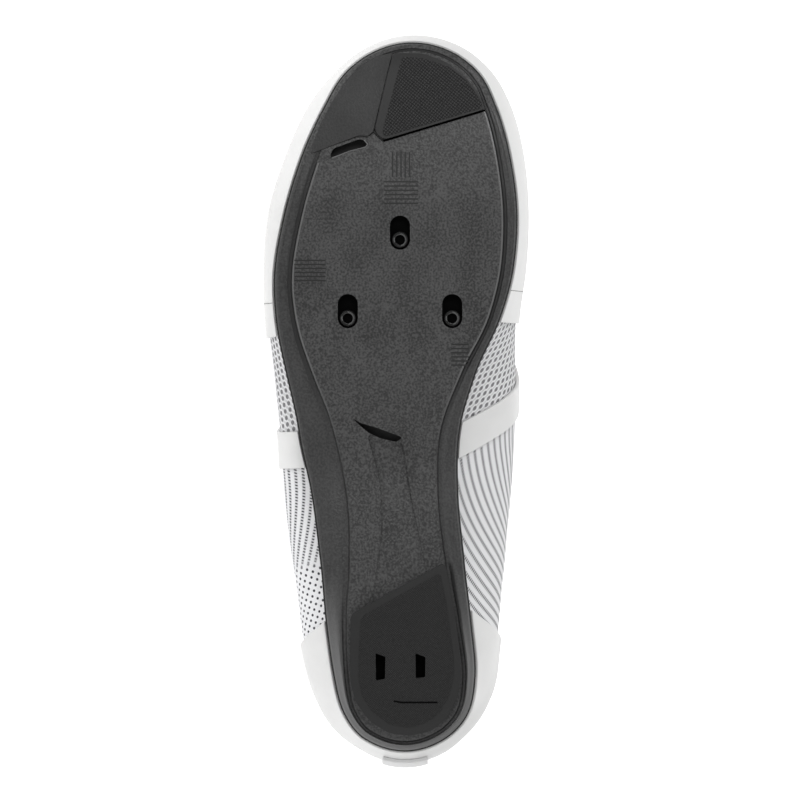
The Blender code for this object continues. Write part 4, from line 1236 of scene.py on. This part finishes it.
def wall_ring(share, drop):
    """A ring of the wall between border and plate: a share across it, a share of its height."""
    return sole_ring(
        lambda t: plate_inset(t) + share * WALL_WIDTH,
        lambda x, t: bottom(x) + (1.0 - drop) * BORDER_DIP * DIP_SHARE(sole_place(x))
        - drop * PLATE_STEP,
    )


def border_ring(share, bead, dip):
    """A ring of the border, a share of its width in; shares of the heel's bead and of the dip."""
    lift = dip * BORDER_DIP
    return sole_ring(
        lambda t: 3.0 * EDGE_ROUND + (plate_inset(t) - 4.0 * EDGE_ROUND) * share,
        lambda x, t: bottom(x) + lift * DIP_SHARE(sole_place(x)) - bead * HEEL_BEAD(sole_place(x)),
    )


def edge_ring(inset, lift):
    """A ring of the rounded edge: an inset in roundings and a lift over the border."""
    return sole_ring(inset * EDGE_ROUND, lambda x, t: bottom(x) + lift)


def make_outsole():
    """The stiff sole: beaded border, stepped plate that ends at the toe, rounded side, shelf."""
    plate = sole_ring(lambda t: plate_inset(t) + PLATE_MARGIN, lambda x, t: bottom(x) - PLATE_STEP)
    layers = [("composite", plate)]
    layers += [(look, wall_ring(*shares)) for look, *shares in WALL_RINGS]
    layers += [(look, border_ring(*shares)) for look, *shares in BORDER_RINGS]
    layers += [(look, edge_ring(*sizes)) for look, *sizes in EDGE_RINGS]
    # The rounded side, the rim and the shelf take the edge look: near-black, painted shade.
    layers += [
        ("edge", sole_ring(EDGE_ROUND / 3, lambda x, t: rim(x, t) - RIM_ROUND)),
        ("edge", sole_ring(EDGE_ROUND / 2, rim)),
        ("edge", sole_ring(RIM_SHELF, rim)),
        ("edge", sole_ring(RIM_SHELF + GAP, lambda x, t: footbed(x))),
    ]
    names = ("composite", "border", "ridge", "trough", "edge", "hole_shade")
    strips = [names.index(look) for look, _ in layers]
    mesh = ring_mesh("sole_plate", [ring for _, ring in layers], STATIONS, strips)
    sole = new_object("sole_plate", mesh, *names)
    cut(sole, plan_slab("front", FRONT_STEP, 0.0, lambda x: BELOW, under(FRONT_SKIN), "composite"))
    # The cleat slots, pad slots, vent and slit below get near-black walls: painted shade.
    for x, y in cleat_places().values():
        shape = stadium((x, y), SLOT_LENGTH, SLOT_WIDTH)
        cut(sole, prism("slot", shape, BELOW, bottom(x) - PLATE_STEP + SLOT_DEPTH, "hole_shade"))
    for outline in PAD_SLOT_OUTLINES:
        shape = [on_sole(point) for point in outline]
        cut(sole, prism("slot", shape, BELOW, bottom(shape[0][0]) - PLATE_STEP + GAP, "hole_shade"))
    cut(sole, plan_prism(VENT_OUTLINE, VENT_CORNER, "hole_shade"))
    cut(sole, plan_prism(SLIT_OUTLINE, SLIT_CORNER, "hole_shade"))
    cut(sole, plan_slab(
        "channel", CHANNEL_OUTLINE, CHANNEL_CORNER, lambda x: BELOW,
        lambda x: bottom(x) - PLATE_STEP + CHANNEL_DEPTH(sole_place(x)), "composite",
    ))
    smooth(sole)
    soften(sole, SOLE_ROUND)
    settle(sole, "composite", "outsole")
    make_toe_facet()
    make_scales()
    # The toe groove is a near-black cord: painted shade in the groove.
    groove = sole_path(TOE_GROOVE, GROOVE_LIFT)
    tubes("toe_groove", [groove], GROOVE_RADIUS, "hole_shade", "composite")
    # The vent's lip takes the ridge look: a painted highlight line.
    lip = sole_path(VENT_LIP, PLATE_STEP - LIP_SINK)
    tubes("vent_lip", [lip], LIP_RADIUS, "ridge", "composite")


def make_toe_facet():
    """The sloping facet beside the toe pad, highest along the pad."""
    bm = bmesh.new()
    low, high = [], []
    for point, lift in zip(TOE_FACET_OUTLINE, FACET_LIFTS):
        x, y = on_sole(point)
        high.append(bm.verts.new((x, y, bottom(x) + FACET_BASE)))
        low.append(bm.verts.new((x, y, bottom(x) - lift * (PLATE_STEP + FACET_RISE))))
    join_rows(bm, low, high)
    bm.faces.new(high)
    bmesh.ops.triangulate(bm, faces=[bm.faces.new(low)])
    facet = new_object("toe_facet", solid_from("toe_facet", bm), "facet")
    smooth(facet, FACET_ANGLE)
    soften(facet, FACET_ROUND)
    settle(facet, "composite")


def make_scales():
    """The scale lines for setting a cleat, which stand a hair proud of the plate's face."""
    bm = bmesh.new()
    half = SCALE_LINE / 2.0
    for (first, last), count, (start, end), along in SCALES:
        for k in range(count):
            at = first + (last - first) * k / (count - 1)
            corners = [(start, at - half), (end, at - half), (end, at + half), (start, at + half)]
            if not along:
                corners = [(y, x) for x, y in corners]
            face = [(x, y, bottom(x) - PLATE_STEP - SCALE_LIFT) for x, y in corners]
            draw_out(bm, face, (0.0, 0.0, SCALE_BODY))
    settle(new_object("cleat_scales", solid_from("cleat_scales", bm), "mark"), "composite")


def make_nuts():
    """The cleat inserts: a flanged ring with a threaded bore in the roof of each slot."""
    root = NUT_BORE + THREAD_DEPTH
    profile = [
        (root, NUT_HEIGHT), (NUT_RADIUS, NUT_HEIGHT), (NUT_RADIUS, NUT_CHAMFER),
        (NUT_RADIUS - NUT_CHAMFER, 0.0), (NUT_BORE + NUT_SINK, 0.0), (root, NUT_CHAMFER),
    ]
    for k in range(THREAD_TURNS):
        z = NUT_CHAMFER + (NUT_HEIGHT - NUT_CHAMFER) * (k + 0.5) / THREAD_TURNS
        profile += [(NUT_BORE - THREAD_CREST, z - THREAD_CREST), (root, z + THREAD_CREST)]
    for name, (x, y) in cleat_places().items():
        bm = bmesh.new()
        rings = []
        for k in range(NUT_SIDES):
            angle = 2.0 * math.pi * k / NUT_SIDES
            c, s = math.cos(angle), math.sin(angle)
            rings.append([bm.verts.new((r * c, r * s, z)) for r, z in profile])
        for ring, after in zip(rings, rings[1:] + rings[:1]):
            join_rows(bm, ring, after)
        roof = bottom(x) - PLATE_STEP + SLOT_DEPTH
        bmesh.ops.translate(bm, verts=bm.verts, vec=(x - NUT_SHIFT, y, roof - GAP - NUT_HEIGHT))
        nut = new_object("insert_" + name, solid_from("insert_" + name, bm), "nut_steel")
        smooth(nut)
        settle(nut, "nut_steel", "cleat_nut_" + name)


def make_pad(name, node, outline, face_outline, thickness, top_gap, knurl, slots=()):
    """A walking pad that follows the plate: a smooth lip round a knurled face."""
    foot = PLATE_STEP + GAP + thickness
    pad = plan_slab(name, outline, PAD_CORNER, under(foot), under(top_gap), "pad_side")
    # The pad's slots get near-black walls: painted shade.
    for place in slots:
        cut(pad, plan_prism(place, PAD_SLOT_CORNER, "hole_shade"))
    smooth(pad)
    soften(pad, PAD_ROUND)
    settle(pad, "pad_rubber", node)

    low, high = under(foot + KNURL_LIFT), under(foot - KNURL_BASE)
    face = plan_slab(name + "_knurl", face_outline, PAD_CORNER, low, high, knurl)
    for place in slots:
        cut(face, plan_prism(place, PAD_SLOT_CORNER, knurl))
    smooth(face)
    settle(face, "pad_rubber")


def make_pad_groove():
    """The fine groove across the rear of the heel pad."""
    # A near-black cord: painted shade in the groove.
    groove = sole_path(PAD_GROOVE, HEEL_PAD + PLATE_STEP + GAP + KNURL_LIFT)
    tubes("pad_groove", [groove], PAD_GROOVE_RADIUS, "hole_shade", "pad_rubber")


def make_insole():
    """The removable insole in the sole's shallow cup."""
    lower = RIM_SHELF + 3 * GAP
    upper = lower + 2 * GAP
    rings = [
        sole_ring(lower, lambda x, t: footbed(x) + GAP),
        sole_ring(lower, lambda x, t: footbed(x) + GAP + 0.5 * INSOLE),
        sole_ring(upper, lambda x, t: footbed(x) + GAP + 0.9 * INSOLE),
        sole_ring(upper + EDGE_ROUND, lambda x, t: footbed(x) + GAP + INSOLE),
    ]
    mesh = ring_mesh("insole_sheet", rings, INSOLE_STATIONS)
    # Painted shade: faces that look down get the near-black underside look.
    for face in mesh.polygons:
        face.material_index = 1 if face.normal.z < -0.5 else 0
    insole = new_object("insole_sheet", mesh, "insole", "insole_underside_shade")
    smooth(insole, SOFT_ANGLE)
    settle(insole, "lining", "insole")


def rib_length(turn):
    """Length of the upper's rib from the sole to the top edge."""
    along = section(abs(turn))[1]
    return along[3] if turn < 0 else along[8] - along[5]


def under_film(side, at, rise):
    """Whether a place of the knit lies well under the rand or the counter."""
    end = RAND_MEDIAL_END if side > 0 else RAND_LATERAL_END
    if rise < COVERED * RAND_TOP and at > end + COVER_MARGIN:
        return True
    foot = COUNTER_MEDIAL_END if side > 0 else COUNTER_LATERAL_END
    front = foot - COUNTER_SWEEP * rise / COUNTER_TOP
    return rise < COVERED * COUNTER_TOP and at < front - COVER_MARGIN


def top_share(turn, rise):
    """0 where the upper faces sideways and 1 where it faces up."""
    facing = (upper_offset(turn, rise, 1.0) - upper_point(turn, rise))[2]
    low, high = TOP_FACING
    return min(max((facing - low) / (high - low), 0.0), 1.0)


def knit_values(turn, rise):
    """The knit's pattern at a point: phases across and along its lines, zone, density, top."""
    side = MEDIAL if turn > 0 else LATERAL
    at = place_of(turn)
    height = rise * rib_length(turn)
    zone = at - BAND_LINES[side](rise)
    density = 0.0 if under_film(side, at, rise) else 1.0
    if zone > 0.0:
        ahead = zone * UPPER_LENGTH
        lines = (height - MESH_LEAN * ahead) / MESH_PITCH
        dots = (ahead + MESH_SLANT * height) / MESH_STITCH
        return lines, dots, zone, density, top_share(turn, rise)
    behind = -zone * UPPER_LENGTH
    share = min(behind / (LINE_REACH * UPPER_LENGTH), LINE_SHARE_MAX)
    climb = behind * (LINE_START_LEAN + (LINE_END_LEAN - LINE_START_LEAN) * share * 0.5)
    lines = (height - climb) / LINE_PITCH
    dots = (behind + DOT_SLANT * height) / DOT_PITCH
    if side == LATERAL:
        density *= 1.0 - SPARSE_SHARE * min(max((SPARSE_FROM - at) / SPARSE_FADE, 0.0), 1.0)
    return lines, dots, zone, density, 0.0


def crease_height(turn, rise):
    """Height of the soft creases over the smooth form: a trough with a low ridge behind it."""
    height = 0.0
    for side, place, low, high, half, depth in CREASES:
        if side * turn <= 0.0 or not low < rise < high:
            continue
        away = (place_of(turn) - place) / half
        fade = math.sin(math.pi * (rise - low) / (high - low)) ** 2
        ridge = RIDGE_SHARE * math.exp(-((away + RIDGE_PLACE) ** 2))
        height += depth * fade * (ridge - math.exp(-(away**2)))
    return height


def creased_point(turn, rise):
    """A point of the upper with its creases."""
    height = crease_height(turn, rise)
    if abs(height) < FLAT_ENOUGH:
        return upper_point(turn, rise)
    return upper_offset(turn, rise, height)


def make_upper():
    """The knitted upper, open at the sole and lined inside."""
    turns = [math.pi * k / STATIONS for k in range(-STATIONS, STATIONS)]
    rises = rises_between(0.0, 1.0)
    rows = [[creased_point(turn, rise) for turn in turns] for rise in rises]
    table = [[knit_values(turn, rise) for turn in turns] for rise in rises]
    values = {
        name: [[item[k] for item in row] for row in table] for k, name in enumerate(KNIT_VALUES)
    }
    upper = new_object("knit_upper", grid_mesh("knit_upper", rows, True, values), "knit", "lining")
    thicken(upper, UPPER_WALL, -1.0, 1)
    smooth(upper, SOFT_ANGLE)
    settle(upper, "knit", "upper")


def overlay(name, look, rows, thickness, slot, *nodes, edge=FILM_ROUND):
    """A thin piece laid on the upper, with softly rounded edges."""
    thing = new_object(name, grid_mesh(name, rows), look)
    thicken(thing, thickness, 1.0)
    thing.data.shade_smooth()
    soften(thing, edge)
    settle(thing, slot, *nodes)


def tubes(name, runs, radius, look, slot, closed=False):
    """Round cords along runs of points, as one object: seams, a binding or threads."""
    curve = bpy.data.curves.new(name, "CURVE")
    curve.dimensions = "3D"
    curve.bevel_depth = radius
    curve.bevel_resolution = 2
    curve.use_fill_caps = True
    for points in runs:
        line = curve.splines.new("POLY")
        line.points.add(len(points) - 1)
        for point, place in zip(line.points, points):
            point.co = (*(POSE @ Vector(place)), 1.0)
        line.use_cyclic_u = closed
    curve.materials.append(LOOKS[look])
    settle(in_scene(name, curve), slot)


def spread(first, last, count):
    """Evenly spaced values from the first to the last, with both ends."""
    return [first + (last - first) * k / count for k in range(count + 1)]


def make_rand():
    """The film rand that edges the sole round the forefoot and rises into a toe cap."""
    start = turn_of(RAND_MEDIAL_END)
    end = 2.0 * math.pi - turn_of(RAND_LATERAL_END)
    turns = [wrap(turn) for turn in spread(start, end, RAND_COLUMNS)]
    rows = [
        [upper_offset(turn, rise, FILM_BASE) for turn in turns]
        for rise in rises_between(PANEL_FOOT, RAND_TOP)
    ]
    overlay("rand_film", "film", rows, FILM + FILM_GAP - FILM_BASE, "film", "rand")
    reach = spread(PANEL_FOOT, RAND_JOINT_TOP, JOINT_STEPS)
    joints = [
        [upper_offset(side * turn_of(at), rise, FILM + FILM_GAP) for rise in reach]
        for side, at in RAND_JOINTS
    ]
    tubes("rand_joints", joints, JOINT_RADIUS, "seam", "film")


def make_counter():
    """The smooth heel counter, its front edges leaning back as they rise."""
    rows = []
    for rise in rises_between(PANEL_FOOT, COUNTER_TOP):
        sweep = COUNTER_SWEEP * (rise / COUNTER_TOP)
        first = -turn_of(COUNTER_LATERAL_END - sweep)
        last = turn_of(COUNTER_MEDIAL_END - sweep)
        turns = spread(first, last, COUNTER_COLUMNS)
        rows.append([upper_offset(turn, rise, FILM_BASE) for turn in turns])
    thickness = COUNTER + FILM_GAP - FILM_BASE
    overlay("counter_film", "counter", rows, thickness, "film", "heel_counter",
            edge=COUNTER_ROUND)


def tab_turn(rise, half):
    """The angle at which the upper is a half width from its back seam."""
    centre = upper_point(TINY_TURN, rise)
    low, high = 0.0, TAB_TURN_MAX
    for _ in range(TAB_TRIES):
        middle = (low + high) / 2.0
        if abs(upper_point(middle, rise)[1] - centre[1]) < half:
            low = middle
        else:
            high = middle
    return low


def make_heel_tab():
    """The strip up the back seam, over the counter, to the collar."""
    gap = FILM_GAP + COUNTER
    rows = []
    for rise in rises_between(TAB_FOOT, TAB_TOP):
        reach = tab_turn(rise, TAB_WIDTH / 2.0)
        turns = [reach * k / TAB_COLUMNS for k in range(-TAB_COLUMNS, TAB_COLUMNS + 1)]
        rows.append([upper_offset(turn, rise, gap) for turn in turns])
    overlay("heel_strip", "strap", rows, TAB + FILM_GAP, "film", "heel_tab", edge=TAB_ROUND)


def make_band(name, side, node):
    """A film band from the sole's edge up to the throat, leaning forward as it rises."""
    rows = []
    for rise in rises_between(PANEL_FOOT, BAND_TOP):
        middle = BAND_LINES[side](rise)
        ats = [middle + BAND_HALF * share for share in spread(-1.0, 1.0, BAND_COLUMNS)]
        rows.append([upper_offset(side * turn_of(at), rise, FILM_BASE) for at in ats])
    overlay(name, "film", rows, FILM + FILM_GAP - FILM_BASE, "film", node)


def strap_rows(row_of_shares, gap, steps, columns, shrink=0.0):
    """Rows of points over the instep for a strap; shrink pulls its edges in, as a share."""
    lateral, middle, medial, half, start, end = row_of_shares
    line = Profile((-STRAP_FOOT, 0.0, STRAP_FOOT), (lateral, middle, medial))
    rows = []
    for n in range(steps + 1):
        share = n / steps
        across = start + (end - start) * share
        row = []
        for offset in spread(-1.0 + shrink, 1.0 - shrink, columns):
            round_end = 1.0 - math.sqrt(1.0 - TIP_FLATNESS * offset**2)
            pull = STRAP_TIP * round_end * (1.0 - share) ** TIP_FADE
            row.append(across_offset(turn_of(line(across) + half * offset), across + pull, gap))
        rows.append(row)
    return rows


def make_strap(name, node):
    """A flat strap over the instep with two rows of stitching along its edges."""
    shares = STRAP_ROWS[node]
    gap = FILM_GAP + FILM + FILM_GAP
    rows = strap_rows(shares, gap, STRAP_STEPS, BAND_COLUMNS)
    overlay(name, "strap", rows, STRAP, "strap", node, edge=STRAP_ROUND)
    lines = strap_rows(shares, gap + STRAP + STITCH_LIFT, STITCH_STEPS, 2, STITCH_INSET)
    runs = []
    for k in (0, 2):
        points = [row[k] for row in lines[STITCH_FIRST:-STITCH_LAST]]
        runs += [points[n:n + 2] for n in range(0, len(points) - 1, 2)]
    tubes(name + "_stitches", runs, STITCH_RADIUS, "thread", "strap")


def make_tongue():
    """The tongue under the throat, which stands up out of the collar at its top."""
    depth = UPPER_WALL + 3 * GAP
    half_width = Profile(*zip(*TONGUE_HALF))
    up = Vector((-math.sin(TONGUE_LEAN), 0.0, math.cos(TONGUE_LEAN)))
    rows = []
    count = TONGUE_STEPS + TONGUE_TOP_STEPS
    for n in range(count + 1):
        share = min(n / TONGUE_STEPS, 1.0)
        turn = turn_of(TONGUE_FRONT + (TONGUE_BACK - TONGUE_FRONT) * share)
        lift = TONGUE_REACH * max(0, n - TONGUE_STEPS) / TONGUE_TOP_STEPS
        half = half_width(n / count)
        rows.append([
            Vector(across_offset(turn, across, -depth)) + up * lift
            for across in spread(-half, half, TONGUE_COLUMNS)
        ])
    tongue = new_object("tongue_knit", grid_mesh("tongue_knit", rows), "lining")
    finer = tongue.modifiers.new("finer", "SUBSURF")
    finer.levels = finer.render_levels = TONGUE_LEVELS
    thicken(tongue, TONGUE, -1.0)
    tongue.data.shade_smooth()
    soften(tongue, TONGUE_ROUND, TONGUE_SEGMENTS)
    settle(tongue, "knit", "tongue")


def make_collar_binding():
    """The rolled knit edge of the collar and throat."""
    turns = [math.pi * k / BINDING_STEPS for k in range(-BINDING_STEPS, BINDING_STEPS)]
    points = [upper_offset(turn, BINDING_RISE, -0.5 * UPPER_WALL) for turn in turns]
    tubes("collar_binding", [points], BINDING_RADIUS, "binding", "knit", closed=True)


def make_camera():
    """The photograph's view: straight at the sole, toe up, the inner side on the right."""
    data = bpy.data.cameras.new("camera")
    data.lens = SENSOR * VIEW_DISTANCE / VIEW_SIDE
    data.sensor_width = SENSOR
    camera = in_scene("camera", data)
    right, up, back = Vector((0, 1, 0)), Vector((1, 0, 0)), Vector((0, 0, -1))
    local = Matrix((right, up, back)).transposed().to_4x4()
    place = Matrix.Translation((VIEW_CENTRE, 0.0, -VIEW_DISTANCE))
    camera.matrix_world = POSE @ place @ local
    bpy.context.scene.camera = camera


def area_light(name, place, target, size, power):
    """A soft square light aimed at a point, both in the row frame."""
    data = bpy.data.lights.new(name, "AREA")
    data.size = size
    data.energy = power
    aim = (Vector(target) - Vector(place)).to_track_quat("-Z", "Y")
    light = in_scene(name, data)
    light.matrix_world = Matrix.Translation(place) @ aim.to_matrix().to_4x4()


def make_studio():
    """A pale floor that curves up behind the shoe, a white surround and soft lights."""
    look = Look("studio", 0.9, specular=0.1)
    look.colour(grey(STAGE_GREY))
    look.shader["Emission Color"].default_value = with_alpha(grey(1.0))
    look.shader["Emission Strength"].default_value = STAGE_GLOW
    profile = [(-STAGE_HALF, 0.0), (STAGE_BACK, 0.0)]
    for k in range(1, STAGE_STEPS + 1):
        angle = math.pi / 2.0 * k / STAGE_STEPS
        ahead, up = math.sin(angle), 1.0 - math.cos(angle)
        profile.append((STAGE_BACK + STAGE_RADIUS * ahead, STAGE_RADIUS * up))
    profile.append((STAGE_BACK + STAGE_RADIUS, STAGE_TOP))
    bm = bmesh.new()
    left, right = [[bm.verts.new((x, y, z)) for y, z in profile] for x in (-STAGE_HALF, STAGE_HALF)]
    join_rows(bm, right, left, closed=False)
    mesh = mesh_from("studio_floor", bm)
    mesh.materials.append(look.material)
    mesh.shade_smooth()
    floor = in_scene("studio_floor", mesh)

    world = bpy.data.worlds.new("surround")
    world.use_nodes = True
    background = world.node_tree.nodes["Background"].inputs
    background["Color"].default_value = with_alpha(grey(1.0))
    background["Strength"].default_value = SURROUND
    bpy.context.scene.world = world
    for light in LIGHTS:
        area_light(*light)
    bpy.context.scene.view_settings.view_transform = "Standard"


make_outsole()
make_nuts()
make_pad("toe_pad_body", "toe_pad", TOE_PAD_OUTLINE, TOE_KNURL_OUTLINE, TOE_PAD, 0.0, "toe_knurl")
make_pad("heel_pad_body", "heel_pad", HEEL_PAD_OUTLINE, HEEL_KNURL_OUTLINE, HEEL_PAD,
         PLATE_STEP + GAP / 3, "heel_knurl", PAD_SLOT_OUTLINES)
make_pad_groove()
make_insole()
make_upper()
make_rand()
make_counter()
make_heel_tab()
make_band("band_film_lateral", LATERAL, "band_lateral")
make_band("band_film_medial", MEDIAL, "band_medial")
make_strap("instep_strap", "strap_instep")
make_strap("ankle_strap", "strap_ankle")
make_tongue()
make_collar_binding()
make_studio()
make_camera()

bpy.context.view_layer.update()
